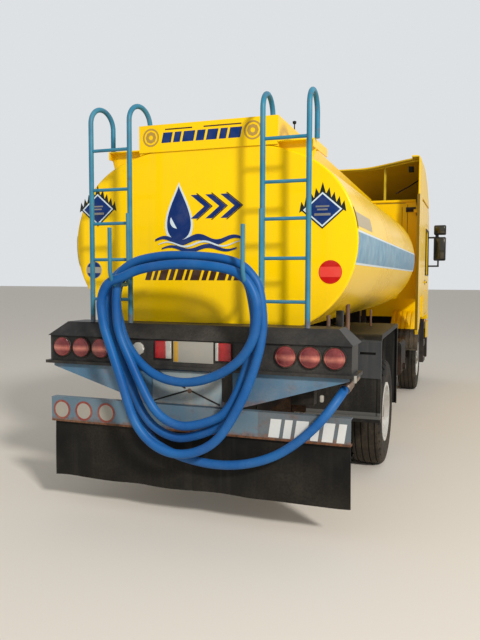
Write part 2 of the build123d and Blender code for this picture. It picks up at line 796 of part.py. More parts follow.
# Cab shell: hollow, with its door openings, windscreen opening and service opening cut
panel_low_z = 1150
panel_top_z = 1880
panel_half_width = 880
corner_front_y = 4400
firewall_y = 4290
with BuildPart() as cab_shell:
    with BuildSketch(side_plane(0)):
        with BuildLine():
            Polyline(
                (cab_rear_y, cab_rear_floor_z),
                (cab_rear_y, cab_roof_z),
                (3950, cab_roof_z + 20),
                (4120, cab_roof_z - 90),
                screen_high,
                screen_low,
                (corner_front_y, panel_top_z),
                (corner_front_y, panel_low_z),
                (4290, panel_low_z),
                (4290, cab_floor_z),
                (floor_step_y, cab_floor_z),
                (floor_step_y, cab_rear_floor_z),
                close=True,
            )
        make_face()
    extrude(amount=body_half_width, both=True)
    roof_edges = cab_shell.edges().filter_by(Axis.Y).group_by(Axis.Z)[-1]
    fillet(roof_edges, 70)
    fillet(cab_shell.edges().filter_by(Axis.Z).group_by(Axis.Y)[-1], 60)
    with BuildSketch(side_plane(0)):
        with BuildLine():
            Polyline(
                (cab_rear_y + cab_wall, cab_rear_floor_z + cab_wall),
                (cab_rear_y + cab_wall, cab_roof_z - cab_wall),
                (3950, cab_roof_z - cab_wall + 10),
                (4065, cab_roof_z - 140),
                (screen_high[0] - 55, screen_high[1]),
                (firewall_y - 5, screen_low[1]),
                (firewall_y - cab_wall, panel_top_z - 60),
                (firewall_y - cab_wall, cab_floor_z + cab_wall),
                (floor_step_y + cab_wall, cab_floor_z + cab_wall),
                (floor_step_y + cab_wall, cab_rear_floor_z + cab_wall),
                close=True,
            )
        make_face()
    extrude(amount=body_half_width - cab_wall, both=True, mode=Mode.SUBTRACT)
    # Door openings, full height of the side with a raked front edge
    with BuildSketch(side_plane(0)):
        with BuildLine():
            Polyline(
                (door_rear_y - 10, door_bottom_z - door_gap),
                (door_rear_y - 10, door_top_z + door_gap),
                (4060 + door_gap, door_top_z + door_gap),
                (door_front_y + door_gap, 2000),
                (door_front_y + door_gap, door_bottom_z - door_gap),
                close=True,
            )
        make_face()
    extrude(amount=body_half_width, both=True, mode=Mode.SUBTRACT)
    # Windscreen opening through the raked front
    with BuildSketch(section_plane(4500)):
        with Locations((0, (screen_low[1] + screen_high[1]) / 2)):
            RectangleRounded(2 * 1085, screen_high[1] - screen_low[1] - 60, 50)
    extrude(amount=450, mode=Mode.SUBTRACT)
    # Recess for the service panel in front of the firewall
    with Locations((0, corner_front_y, (panel_low_z + panel_top_z) / 2)):
        Box(2 * (panel_half_width + door_gap), 2 * (corner_front_y - firewall_y), 760, mode=Mode.SUBTRACT)
    # Pressed ribs on the rear wall
    for rib_x in (-800, -480, -160, 160, 480, 800):
        with Locations((rib_x, cab_rear_y - 6, 2300)):
            Box(60, 12, 1300)
save(cab_shell, "cab_shell")

with BuildPart() as windscreen:
    with BuildSketch(side_plane(0)):
        with BuildLine():
            Polyline(
                (screen_low[0] - 20, screen_low[1]),
                (screen_low[0] - 30, screen_low[1]),
                (screen_high[0] - 30, screen_high[1]),
                (screen_high[0] - 20, screen_high[1]),
                close=True,
            )
        make_face()
    extrude(amount=1085, both=True)
    with BuildSketch(section_plane(4500)):
        with Locations((0, (screen_low[1] + screen_high[1]) / 2)):
            RectangleRounded(2 * 1085, screen_high[1] - screen_low[1] - 60, 50)
    extrude(amount=450, mode=Mode.INTERSECT)
save(windscreen, "windscreen")

# Service panel with its grille slats, hinged along its top edge
with BuildPart() as service_panel:
    with BuildSketch(side_plane(0)):
        with BuildLine():
            Polyline(
                (corner_front_y - 4, panel_low_z + 4),
                (corner_front_y - 4, panel_top_z - 12),
                (firewall_y + 60, panel_top_z - 12),
                (firewall_y + 60, panel_low_z + 4),
                close=True,
            )
        make_face()
    extrude(amount=panel_half_width, both=True)
    for slot in range(4):
        with Locations((0, corner_front_y, panel_low_z + 105 + 140 * slot)):
            Box(2 * 780, 60, 90, mode=Mode.SUBTRACT)
save(service_panel, "service_panel")

# Doors with window openings, panes and mirrors
window_outline = [(3330, 1985), (3330, 2800), (4030, 2800), (4125, 2060), (4125, 1985)]
for side, end in ((-1, "left"), (1, "right")):
    with BuildPart() as door:
        with BuildSketch(side_plane(side * body_half_width)):
            with BuildLine():
                Polyline(
                    (door_rear_y, door_bottom_z),
                    (door_rear_y, door_top_z),
                    (4060, door_top_z),
                    (door_front_y, 1998),
                    (door_front_y, door_bottom_z),
                    close=True,
                )
            make_face()
            with BuildLine():
                Polyline(*window_outline, close=True)
            make_face(mode=Mode.SUBTRACT)
        extrude(amount=-side * cab_wall)
        with Locations((side * (body_half_width + 12), 3330, 1860)):
            Box(24, 150, 34)
    save(door, f"door_{end}")
    with BuildPart() as door_glass:
        with BuildSketch(side_plane(side * (body_half_width - 20))):
            with BuildLine():
                Polyline(*window_outline, close=True)
            make_face()
        extrude(amount=-side * 8)
    save(door_glass, f"door_glass_{end}")
    with BuildPart() as mirror:
        for centre_z, height in ((2480, 440), (2830, 180)):
            with Locations((side * 1452, 4090, centre_z)):
                Box(216, 110, height)
        fillet(mirror.edges(), 26)
        with Locations((side * 1400, 4090, 2720)):
            Box(60, 30, 60)
        for arm_y, arm_z in ((4139, 2160), (4065, 2690)):
            with Locations((side * (body_half_width + 1440) / 2, arm_y, arm_z)):
                Box(1440 - body_half_width, 34, 30)
        with Locations((side * 1425, 4125, 2215)):
            Box(30, 30, 130)
    save(mirror, f"mirror_{end}")

# Roof deflector: a raised shell over the roof, open to the rear, on a tube frame
deflector_rear_y = 1620
deflector_top_z = 3790
deflector_half_width = 1262
deflector_wall = 25
deflector_inner_z = deflector_top_z - deflector_wall
half_edge = [(300, 2475), (520, 2370), (820, 2110), (1130, 1840)]
top_edge = [(-x, y) for x, y in reversed(half_edge)] + [(0, 2500)] + half_edge
post_foot_z = cab_roof_z + 5
frame_edge = [(-1240, 1760)] + top_edge + [(1240, 1760)]
with BuildPart() as roof_deflector:
    with BuildSketch(side_plane(0)):
        with BuildLine():
            ThreePointArc((3900, cab_roof_z + 20), (3190, 3620), (deflector_rear_y + 530, deflector_top_z))
            Polyline(
                (deflector_rear_y + 530, deflector_top_z),
                (deflector_rear_y, deflector_top_z),
                (deflector_rear_y, cab_roof_z + 20),
                (3900, cab_roof_z + 20),
            )
        make_face()
    extrude(amount=deflector_half_width, both=True)
    fillet(roof_deflector.edges().filter_by(Axis.Y).group_by(Axis.Z)[-1], 60)
    with BuildSketch(side_plane(0)):
        with BuildLine():
            ThreePointArc((3830, cab_roof_z + 20), (3160, 3596), (deflector_rear_y + 530, deflector_inner_z))
            Polyline(
                (deflector_rear_y + 530, deflector_inner_z),
                (deflector_rear_y, deflector_inner_z),
                (deflector_rear_y, cab_roof_z + 20),
                (3830, cab_roof_z + 20),
            )
        make_face()
    extrude(amount=deflector_half_width - deflector_wall, both=True, mode=Mode.SUBTRACT)
    with BuildSketch(Plane.XY.offset(deflector_inner_z - 10)):
        with BuildLine():
            edge_line = Spline(*[(x, y) for x, y in top_edge])
            Polyline(edge_line @ 1, (top_edge[-1][0], deflector_rear_y - 20), (top_edge[0][0], deflector_rear_y - 20), edge_line @ 0)
        make_face()
    extrude(amount=deflector_wall + 30, mode=Mode.SUBTRACT)
    for side in (-1, 1):
        with Locations((side * 640, 2400, (post_foot_z + deflector_inner_z) / 2)):
            Box(36, 36, deflector_inner_z - post_foot_z)
    with BuildLine() as frame_line:
        Spline(*[(x, y + 70, deflector_inner_z - 14) for x, y in frame_edge])
    with BuildSketch(Plane(origin=frame_line.line @ 0, z_dir=frame_line.line % 0)):
        Circle(17)
    sweep(path=frame_line.wires()[0])
    with Locations((0, 3860, cab_roof_z + 36)):
        Box(2 * 900, 60, 32)
save(roof_deflector, "roof_deflector")

# Side fins behind the cab, flush with its sides
fin_rear_y = deflector_rear_y
fin_wall = 40
for side, name in ((-1, "side_fin_left"), (1, "side_fin_right")):
    with BuildPart() as side_fin:
        with BuildSketch(side_plane(side * deflector_half_width)):
            with BuildLine():
                Polyline(
                    (cab_rear_y - 2, 1290),
                    (fin_rear_y + 80, 1060),
                    (fin_rear_y, 1140),
                    (fin_rear_y, cab_roof_z + 20),
                    (cab_rear_y - 2, cab_roof_z + 20),
                    close=True,
                )
            make_face()
        extrude(amount=-side * fin_wall)
        for stay_height in (1640, 2300, 3000):
            with Locations((side * 1180, cab_rear_y - 42, stay_height)):
                Box(90, 84, 50)
    save(side_fin, name)

# Inside of the cab: dashboard with steering wheel, seats and bunk
with BuildPart() as dashboard:
    with BuildSketch(side_plane(0)):
        with BuildLine():
            Polyline(
                (4225, cab_floor_z + cab_wall),
                (4225, 1820),
                (4150, 1940),
                (3950, 1960),
                (3880, 1880),
                (3900, 1640),
                (4080, 1500),
                (4080, cab_floor_z + cab_wall),
                close=True,
            )
        make_face()
    extrude(amount=1120, both=True)
    wheel_plane = Plane(origin=(-600, 3770, 2040), x_dir=(1, 0, 0), z_dir=(0, -0.55, 0.83))
    with BuildSketch(wheel_plane):
        Circle(225)
        Circle(200, mode=Mode.SUBTRACT)
        Circle(60)
        Rectangle(420, 36)
    extrude(amount=24)
    with Locations(wheel_plane.offset(-180)):
        Cylinder(32, 190, align=(Align.CENTER, Align.CENTER, Align.MIN))
save(dashboard, "dashboard")

with BuildPart() as seats:
    for seat_x in (-600, 600):
        with Locations((seat_x, 3260, cab_floor_z + cab_wall + 120)):
            Box(400, 400, 240)
        with Locations((seat_x, 3270, 1640)):
            Box(500, 500, 150)
        with Locations((seat_x, 3040, 2010)):
            Box(490, 120, 640)
    for seat_x in (-600, 600):
        with Locations((seat_x, 3050, 2400)):
            Box(280, 90, 180)
save(seats, "seats")

with BuildPart() as bunk:
    with Locations((0, 2575, cab_rear_floor_z + cab_wall + 92)):
        Box(2 * 1150, 720, 180)
save(bunk, "bunk")

# Knuckles: kingpin yoke round the beam's eye, and the stub axle
for side, name in ((-1, "knuckle_left"), (1, "knuckle_right")):
    with BuildPart() as knuckle:
        for yoke_z in (465, 605):
            with Locations((side * kingpin_x, front_axle_y, yoke_z)):
                Cylinder(52, 34)
        with Locations((side * (kingpin_x + 78), front_axle_y, 535)):
            Box(40, 110, 174)
        with Locations((side * (kingpin_x + 40), front_axle_y, 465)):
            Box(80, 90, 34)
        with Locations((side * (kingpin_x + 40), front_axle_y, 605)):
            Box(80, 90, 34)
        with Locations(Plane(origin=(side * (kingpin_x + 98), front_axle_y, tyre_radius), z_dir=(side, 0, 0))):
            Cylinder(40, 120, align=(Align.CENTER, Align.CENTER, Align.MIN))
    save(knuckle, name)


def wheel_plane_at(x, y):
    """Plane whose own x runs along the axle and whose own y runs up from the wheel's centre."""
    return Plane(origin=(x, y, tyre_radius), x_dir=(1, 0, 0), z_dir=(0, -1, 0))


def tyre_section():
    """Half section of a tyre about the axle, as a closed outline in the sketch of a wheel plane."""
    half = tyre_width / 2
    Polyline(
        (-half + 30, bead_radius),
        (-half, bead_radius + 90),
        (-half, tyre_radius - 60),
        (-half + 30, tyre_radius - 8),
        (-half + 70, tyre_radius),
        (half - 70, tyre_radius),
        (half - 30, tyre_radius - 8),
        (half, tyre_radius - 60),
        (half, bead_radius + 90),
        (half - 30, bead_radius),
        close=True,
    )


def axle_line(y):
    """Axis of the wheels at one axle."""
    return Axis((0, y, tyre_radius), (1, 0, 0))


# Tyres
tyre_table = (
    # name, axle y, places along x
    ("tyre_front_left", front_axle_y, (-front_tyre_x,)),
    ("tyre_front_right", front_axle_y, (front_tyre_x,)),
    ("tyres_rear_left", rear_axle_y, (-twin_outer_x, -twin_inner_x)),
    ("tyres_rear_right", rear_axle_y, (twin_inner_x, twin_outer_x)),
)
for name, axle_y, places in tyre_table:
    with BuildPart() as tyre:
        for place in places:
            with BuildSketch(wheel_plane_at(place, axle_y)):
                with BuildLine():
                    tyre_section()
                make_face()
            revolve(axis=axle_line(axle_y))
    save(tyre, name)

# Rims: a barrel with a dished disc and hand holes; the twin rims meet at their discs
disc_wall = 16
rim_half = 142
rim_table = (
    # name, axle y, hub middle, hub length, (place along x, disc x from the middle, side that the dish faces)
    ("rim_front_left", front_axle_y, -1070, 150, ((-front_tyre_x, -60, -1),)),
    ("rim_front_right", front_axle_y, 1070, 150, ((front_tyre_x, 60, 1),)),
    ("rims_rear_left", rear_axle_y, -998, 330, ((-twin_outer_x, 165.5, 1), (-twin_inner_x, -165.5, -1))),
    ("rims_rear_right", rear_axle_y, 998, 330, ((twin_outer_x, -165.5, -1), (twin_inner_x, 165.5, 1))),
)
bore_radius = 62
hub_radius = 115
hand_hole_radius = 27
hand_hole_circle = 222
for name, axle_y, hub_x, hub_length, rims in rim_table:
    with BuildPart() as rim:
        with BuildSketch(wheel_plane_at(hub_x, axle_y)):
            with Locations((0, (hub_radius + bore_radius) / 2)):
                Rectangle(hub_length, hub_radius - bore_radius)
        revolve(axis=axle_line(axle_y))
        for place, disc_x, dish in rims:
            with BuildSketch(wheel_plane_at(place, axle_y)):
                with Locations((0, 279)):
                    Rectangle(2 * rim_half, 16)
                for lip in (-1, 1):
                    with Locations((lip * (rim_half - 8), 288)):
                        Rectangle(16, 34)
            revolve(axis=axle_line(axle_y))
            with BuildSketch(wheel_plane_at(place, axle_y)):
                with BuildLine():
                    Polyline(
                        (disc_x - disc_wall / 2, bore_radius),
                        (disc_x - disc_wall / 2, 190),
                        (dish * 60 - disc_wall / 2, 275),
                        (dish * 60 + disc_wall / 2, 275),
                        (disc_x + disc_wall / 2, 190),
                        (disc_x + disc_wall / 2, bore_radius),
                        close=True,
                    )
                make_face()
            revolve(axis=axle_line(axle_y))
        with Locations(Plane(origin=(hub_x, axle_y, tyre_radius), z_dir=(1, 0, 0))):
            with PolarLocations(hand_hole_circle, 8):
                Cylinder(hand_hole_radius, 800, mode=Mode.SUBTRACT)
    save(rim, name)
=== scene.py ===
import math

import bpy
from mathutils import Matrix, Vector


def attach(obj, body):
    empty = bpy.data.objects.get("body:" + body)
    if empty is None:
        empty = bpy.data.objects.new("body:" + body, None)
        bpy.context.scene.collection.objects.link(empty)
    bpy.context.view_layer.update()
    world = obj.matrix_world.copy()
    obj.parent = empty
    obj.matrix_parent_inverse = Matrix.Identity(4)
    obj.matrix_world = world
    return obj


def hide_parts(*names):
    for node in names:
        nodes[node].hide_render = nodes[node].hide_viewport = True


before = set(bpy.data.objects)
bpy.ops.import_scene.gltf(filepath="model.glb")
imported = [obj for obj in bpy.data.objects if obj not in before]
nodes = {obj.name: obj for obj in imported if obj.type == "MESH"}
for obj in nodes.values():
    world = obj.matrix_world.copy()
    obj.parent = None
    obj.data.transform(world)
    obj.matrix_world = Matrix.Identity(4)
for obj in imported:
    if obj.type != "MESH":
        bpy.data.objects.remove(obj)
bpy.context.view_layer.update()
sides = ((-1, "Left"), (1, "Right"))
print("frame loaded:", len(nodes), "nodes")


# Small tools that every piece uses

def deselectAll():
    bpy.ops.object.select_all(action="DESELECT")


def makeActive(piece):
    deselectAll()
    piece.select_set(True)
    bpy.context.view_layer.objects.active = piece


def applyModifier(piece, kind, **settings):
    makeActive(piece)
    modifier = piece.modifiers.new(kind.title(), kind)
    for key, value in settings.items():
        setattr(modifier, key, value)
    bpy.ops.object.modifier_apply(modifier=modifier.name)


def applyTransform(piece):
    makeActive(piece)
    bpy.ops.object.transform_apply(location=True, rotation=True, scale=True)


def editWith(piece, mode, chosen):  # edit mode with the faces or vertices that chosen picks
    makeActive(piece)
    bpy.ops.object.mode_set(mode="EDIT")
    bpy.ops.mesh.select_mode(type=mode)
    bpy.ops.mesh.select_all(action="DESELECT")
    bpy.ops.object.mode_set(mode="OBJECT")
    parts = {"FACE": piece.data.polygons, "VERT": piece.data.vertices}[mode]
    for part in parts:
        part.select = chosen(part)
    bpy.ops.object.mode_set(mode="EDIT")


def leaveEdit():
    bpy.ops.object.mode_set(mode="OBJECT")


def tidyShell(piece, gap=0.0001):  # merge doubles, then turn every face outwards
    editWith(piece, "VERT", lambda vertex: True)
    bpy.ops.mesh.remove_doubles(threshold=gap)
    bpy.ops.mesh.normals_make_consistent(inside=False)
    leaveEdit()


def addObject(name, data):
    piece = bpy.data.objects.new(name, data)
    bpy.context.scene.collection.objects.link(piece)
    return piece


def convertToMesh(piece):
    makeActive(piece)
    bpy.ops.object.convert(target="MESH")
    return bpy.context.active_object


def smoothByAngle(piece, degrees=35):
    makeActive(piece)
    bpy.ops.object.shade_smooth_by_angle(angle=math.radians(degrees))


def addBlock(name, low, high, bevel=0.003, segments=2):  # a bevelled bar or plate between two corners
    size = [b - a for a, b in zip(low, high)]
    middle = [(a + b) / 2 for a, b in zip(low, high)]
    bpy.ops.mesh.primitive_cube_add(size=1, location=middle, scale=size)
    piece = bpy.context.active_object
    piece.name = name
    applyTransform(piece)
    if bevel:
        applyModifier(piece, "BEVEL", width=bevel, segments=segments)
    smoothByAngle(piece)
    return piece


def addSideBlock(name, side, low, high, bevel=0.003, segments=2):  # its corners are given for the right side
    inner, outer = sorted((side * low[0], side * high[0]))
    return addBlock(name, (inner, *low[1:]), (outer, *high[1:]), bevel, segments)


def addTube(name, points, radius, cyclic=False):  # a bent bar along points
    curve = bpy.data.curves.new(name, "CURVE")
    curve.dimensions = "3D"
    spline = curve.splines.new("POLY")
    spline.points.add(len(points) - 1)
    for target, place in zip(spline.points, points):
        target.co = (*place, 1)
    spline.use_cyclic_u = cyclic
    curve.bevel_depth = radius
    curve.bevel_resolution = 3
    curve.use_fill_caps = True
    piece = convertToMesh(addObject(name, curve))
    smoothByAngle(piece, 40)
    return piece


def addRound(name, centre, normal, outline, steps=40):
    # outline: (distance along normal, radius) from back to front, spun round the normal
    mesh = bpy.data.meshes.new(name)
    edges = [(i, i + 1) for i in range(len(outline) - 1)]
    mesh.from_pydata([(radius, 0, along) for along, radius in outline], edges, [])
    piece = addObject(name, mesh)
    editWith(piece, "VERT", lambda vertex: True)
    bpy.ops.mesh.spin(steps=steps, angle=2 * math.pi, center=(0, 0, 0), axis=(0, 0, 1))
    bpy.ops.mesh.select_all(action="SELECT")
    bpy.ops.mesh.remove_doubles(threshold=0.00005)
    bpy.ops.mesh.normals_make_consistent(inside=False)
    leaveEdit()
    piece.rotation_mode = "QUATERNION"
    piece.rotation_quaternion = Vector(normal).to_track_quat("Z", "Y")
    piece.location = centre
    applyTransform(piece)
    smoothByAngle(piece, 32)
    return piece


def copyPiece(piece, name, move=(0, 0, 0), mirrorX=False):
    twin = piece.copy()
    twin.data = piece.data.copy()
    twin.name = name
    bpy.context.scene.collection.objects.link(twin)
    twin.location = move
    applyTransform(twin)
    if mirrorX:
        twin.scale = (-1, 1, 1)
        applyTransform(twin)
        tidyShell(twin)
    return twin


def joinPieces(name, pieces):
    deselectAll()
    for piece in pieces:
        piece.select_set(True)
    bpy.context.view_layer.objects.active = pieces[0]
    bpy.ops.object.join()
    joined = bpy.context.active_object
    joined.name = name
    joined.data.name = name
    return joined


def fitOut(piece, finish, body, slot):
    piece.data.materials.clear()
    piece.data.materials.append(finishes[finish])
    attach(piece, body)
    return piece


# Colours and shader groups

def screen(red, green, blue):  # a 0-255 screen colour as linear RGBA
    def channel(value):
        value /= 255
        return value / 12.92 if value <= 0.04045 else ((value + 0.055) / 1.055) ** 2.4
    return (channel(red), channel(green), channel(blue), 1.0)


def feed(tree, socket, source):
    if isinstance(source, bpy.types.NodeSocket):
        tree.links.new(source, socket)
    else:
        socket.default_value = source


def addNode(tree, kind, place, inputs=(), **settings):
    node = tree.nodes.new(kind)
    node.location = place
    for key, value in settings.items():
        setattr(node, key, value)
    for key, source in dict(inputs).items():
        feed(tree, node.inputs[key], source)
    return node


def mathNode(tree, place, operation, first, second=0.0, third=0.0, clamp=False):
    node = addNode(tree, "ShaderNodeMath", place, {0: first, 1: second, 2: third}, operation=operation,
                   use_clamp=clamp)
    return node.outputs[0]


def mixColour(tree, place, factor, first, second):
    node = addNode(tree, "ShaderNodeMix", place, {0: factor, 6: first, 7: second}, data_type="RGBA")
    return node.outputs[2]


def spread(tree, place, value, low, high, toLow=0.0, toHigh=1.0):
    node = addNode(tree, "ShaderNodeMapRange", place, {0: value, 1: low, 2: high, 3: toLow, 4: toHigh})
    return node.outputs[0]


def noiseNode(tree, place, vector, scale, detail, roughness=0.55):
    node = addNode(tree, "ShaderNodeTexNoise", place,
                   {"Vector": vector, "Scale": scale, "Detail": detail, "Roughness": roughness})
    return node.outputs["Fac"]


def objectCoords(tree, place):
    return addNode(tree, "ShaderNodeTexCoord", place).outputs["Object"]


def newGroup(name, inputs, outputs):
    group = bpy.data.node_groups.new(name, "ShaderNodeTree")
    for label, kind, value in inputs:
        group.interface.new_socket(label, in_out="INPUT", socket_type=kind).default_value = value
    for label, kind in outputs:
        group.interface.new_socket(label, in_out="OUTPUT", socket_type=kind)
    entry = addNode(group, "NodeGroupInput", (-1400, 0))
    leave = addNode(group, "NodeGroupOutput", (700, 0))
    return group, entry.outputs, leave.inputs


colourKind, numberKind = "NodeSocketColor", "NodeSocketFloat"


def makeRoadDust():  # settled pale dust, thicker towards the road
    group, given, result = newGroup(
        "roadDust",
        [("Paint", colourKind, (0.5, 0.5, 0.5, 1)), ("Dust", colourKind, screen(176, 158, 132)),
         ("Amount", numberKind, 0.3), ("Top", numberKind, 1.2), ("Patch Size", numberKind, 3.0)],
        [("Color", colourKind), ("Mask", numberKind)],
    )
    coords = objectCoords(group, (-1400, -300))
    height = addNode(group, "ShaderNodeSeparateXYZ", (-1200, -400), {0: coords}).outputs["Z"]
    low = mathNode(group, (-800, -400), "SUBTRACT", 1.0,
                   mathNode(group, (-1000, -400), "DIVIDE", height, given["Top"]), clamp=True)
    broad = noiseNode(group, (-1100, -150), coords, given["Patch Size"], 5.0)
    patches = spread(group, (-900, -150), broad, 0.42, 0.72)
    fine = noiseNode(group, (-1100, 100), coords, 60.0, 3.0)
    speckle = spread(group, (-900, 100), fine, 0.3, 0.75, 0.55, 1.25)
    settled = mathNode(group, (-600, -200), "ADD", patches,
                       mathNode(group, (-700, -400), "MULTIPLY", low, 0.9))
    mask = mathNode(group, (-200, -100), "MULTIPLY",
                    mathNode(group, (-400, -100), "MULTIPLY", settled, speckle), given["Amount"], clamp=True)
    feed(group, result["Color"], mixColour(group, (200, 100), mask, given["Paint"], given["Dust"]))
    feed(group, result["Mask"], mask)
    return group


def makeRainStreaks():  # long soft runs down a side
    group, given, result = newGroup(
        "rainStreaks",
        [("Paint", colourKind, (0.5, 0.5, 0.5, 1)), ("Streak", colourKind, screen(120, 100, 70)),
         ("Amount", numberKind, 0.3)],
        [("Color", colourKind), ("Mask", numberKind)],
    )
    coords = objectCoords(group, (-1400, -300))
    drawn = addNode(group, "ShaderNodeMapping", (-1200, -300),
                    {"Vector": coords, "Scale": (17, 17, 0.8)}).outputs[0]
    runs = spread(group, (-800, -200), noiseNode(group, (-1000, -200), drawn, 1.0, 4.0), 0.5, 0.8)
    parts = spread(group, (-800, 50), noiseNode(group, (-1000, 50), coords, 1.6, 2.0), 0.4, 0.65)
    mask = mathNode(group, (-300, -100), "MULTIPLY", mathNode(group, (-500, -100), "MULTIPLY", runs, parts),
                    given["Amount"], clamp=True)
    feed(group, result["Color"], mixColour(group, (200, 100), mask, given["Paint"], given["Streak"]))
    feed(group, result["Mask"], mask)
    return group


def makeRustBloom():  # rust round a level such as a lower edge, with scattered spots
    group, given, result = newGroup(
        "rustBloom",
        [("Paint", colourKind, (0.5, 0.5, 0.5, 1)), ("Amount", numberKind, 0.5),
         ("Edge Level", numberKind, 0.0), ("Reach", numberKind, 0.05), ("Spots", numberKind, 0.3)],
        [("Color", colourKind), ("Mask", numberKind)],
    )
    coords = objectCoords(group, (-1400, -300))
    height = addNode(group, "ShaderNodeSeparateXYZ", (-1200, -450), {0: coords}).outputs["Z"]
    away = mathNode(group, (-900, -450), "ABSOLUTE",
                    mathNode(group, (-1000, -450), "SUBTRACT", height, given["Edge Level"]))
    near = mathNode(group, (-600, -450), "SUBTRACT", 1.0,
                    mathNode(group, (-800, -450), "DIVIDE", away, given["Reach"]), clamp=True)
    patch = noiseNode(group, (-1100, -150), coords, 9.0, 6.0, 0.65)
    eaten = mathNode(group, (-500, -300), "MULTIPLY_ADD", near, 0.42, patch)
    edge = spread(group, (-300, -400), eaten, 0.55, 0.75)
    dots = spread(group, (-700, 50), noiseNode(group, (-900, 50), coords, 14.0, 5.0, 0.7), 0.62, 0.7)
    spots = mathNode(group, (-500, 50), "MULTIPLY", dots, given["Spots"])
    mask = mathNode(group, (-50, -150), "MULTIPLY", mathNode(group, (-150, -150), "MAXIMUM", edge, spots),
                    given["Amount"], clamp=True)
    tone = spread(group, (-700, 300), noiseNode(group, (-900, 300), coords, 34.0, 3.0), 0.35, 0.7)
    rust = mixColour(group, (-300, 300), tone, screen(62, 36, 24), screen(140, 82, 44))
    feed(group, result["Color"], mixColour(group, (250, 100), mask, given["Paint"], rust))
    feed(group, result["Mask"], mask)
    return group


def makePaintSkin():  # heights: fine grain and slow dents
    group, given, result = newGroup(
        "paintSkin",
        [("Grain Scale", numberKind, 90.0), ("Grain", numberKind, 0.05), ("Dent Scale", numberKind, 1.5),
         ("Dent", numberKind, 0.5)],
        [("Height", numberKind)],
    )
    coords = objectCoords(group, (-1400, -300))
    grain = mathNode(group, (-600, 100), "MULTIPLY",
                     noiseNode(group, (-900, 100), coords, given["Grain Scale"], 3.0), given["Grain"])
    dents = mathNode(group, (-600, -200), "MULTIPLY",
                     noiseNode(group, (-900, -200), coords, given["Dent Scale"], 1.0, 0.4), given["Dent"])
    feed(group, result["Height"], mathNode(group, (-200, 0), "ADD", grain, dents))
    return group


roadDust = makeRoadDust()
rainStreaks = makeRainStreaks()
rustBloom = makeRustBloom()
paintSkin = makePaintSkin()


def addGroup(tree, group, place, inputs):
    node = addNode(tree, "ShaderNodeGroup", place, node_tree=group)
    for key, source in inputs.items():
        feed(tree, node.inputs[key], source)
    return node.outputs


def zoneMask(tree, low, high):  # 1 inside a box, 0 outside, with a soft edge of 4 mm
    axes = addNode(tree, "ShaderNodeSeparateXYZ", (-1900, 700), {0: objectCoords(tree, (-2100, 700))}).outputs
    mask = 1.0
    for row, (axis, first, last) in enumerate(zip("XYZ", low, high)):
        above = spread(tree, (-1700, 700 - 200 * row), axes[axis], first - 0.002, first + 0.002)
        under = spread(tree, (-1500, 700 - 200 * row), axes[axis], last + 0.002, last - 0.002)
        mask = mathNode(tree, (-1300, 700 - 200 * row), "MULTIPLY", mask,
                        mathNode(tree, (-1400, 700 - 200 * row), "MULTIPLY", above, under))
    return mask


def archShadeMask(tree, centre, radius, halfWidth):  # 1 under a round arch that runs along X, 0 outside it: the mask of painted shade inside an arched shell
    axes = addNode(tree, "ShaderNodeSeparateXYZ", (-1900, 1200),
                   {0: objectCoords(tree, (-2100, 1200))}).outputs
    away = addNode(tree, "ShaderNodeCombineXYZ", (-1700, 1200), {
        "Y": mathNode(tree, (-1800, 1300), "SUBTRACT", axes["Y"], centre[0]),
        "Z": mathNode(tree, (-1800, 1100), "SUBTRACT", axes["Z"], centre[1])}).outputs[0]
    reach = addNode(tree, "ShaderNodeVectorMath", (-1500, 1200), {0: away},
                    operation="LENGTH").outputs["Value"]
    under = spread(tree, (-1300, 1200), reach, radius + 0.002, radius - 0.002)
    within = spread(tree, (-1300, 1400), mathNode(tree, (-1500, 1400), "ABSOLUTE", axes["X"]),
                    halfWidth + 0.002, halfWidth - 0.002)
    return mathNode(tree, (-1100, 1200), "MULTIPLY", under, within)


def newMaterial(name):
    material = bpy.data.materials.new(name)
    material.use_nodes = True
    return material, material.node_tree, material.node_tree.nodes["Principled BSDF"]


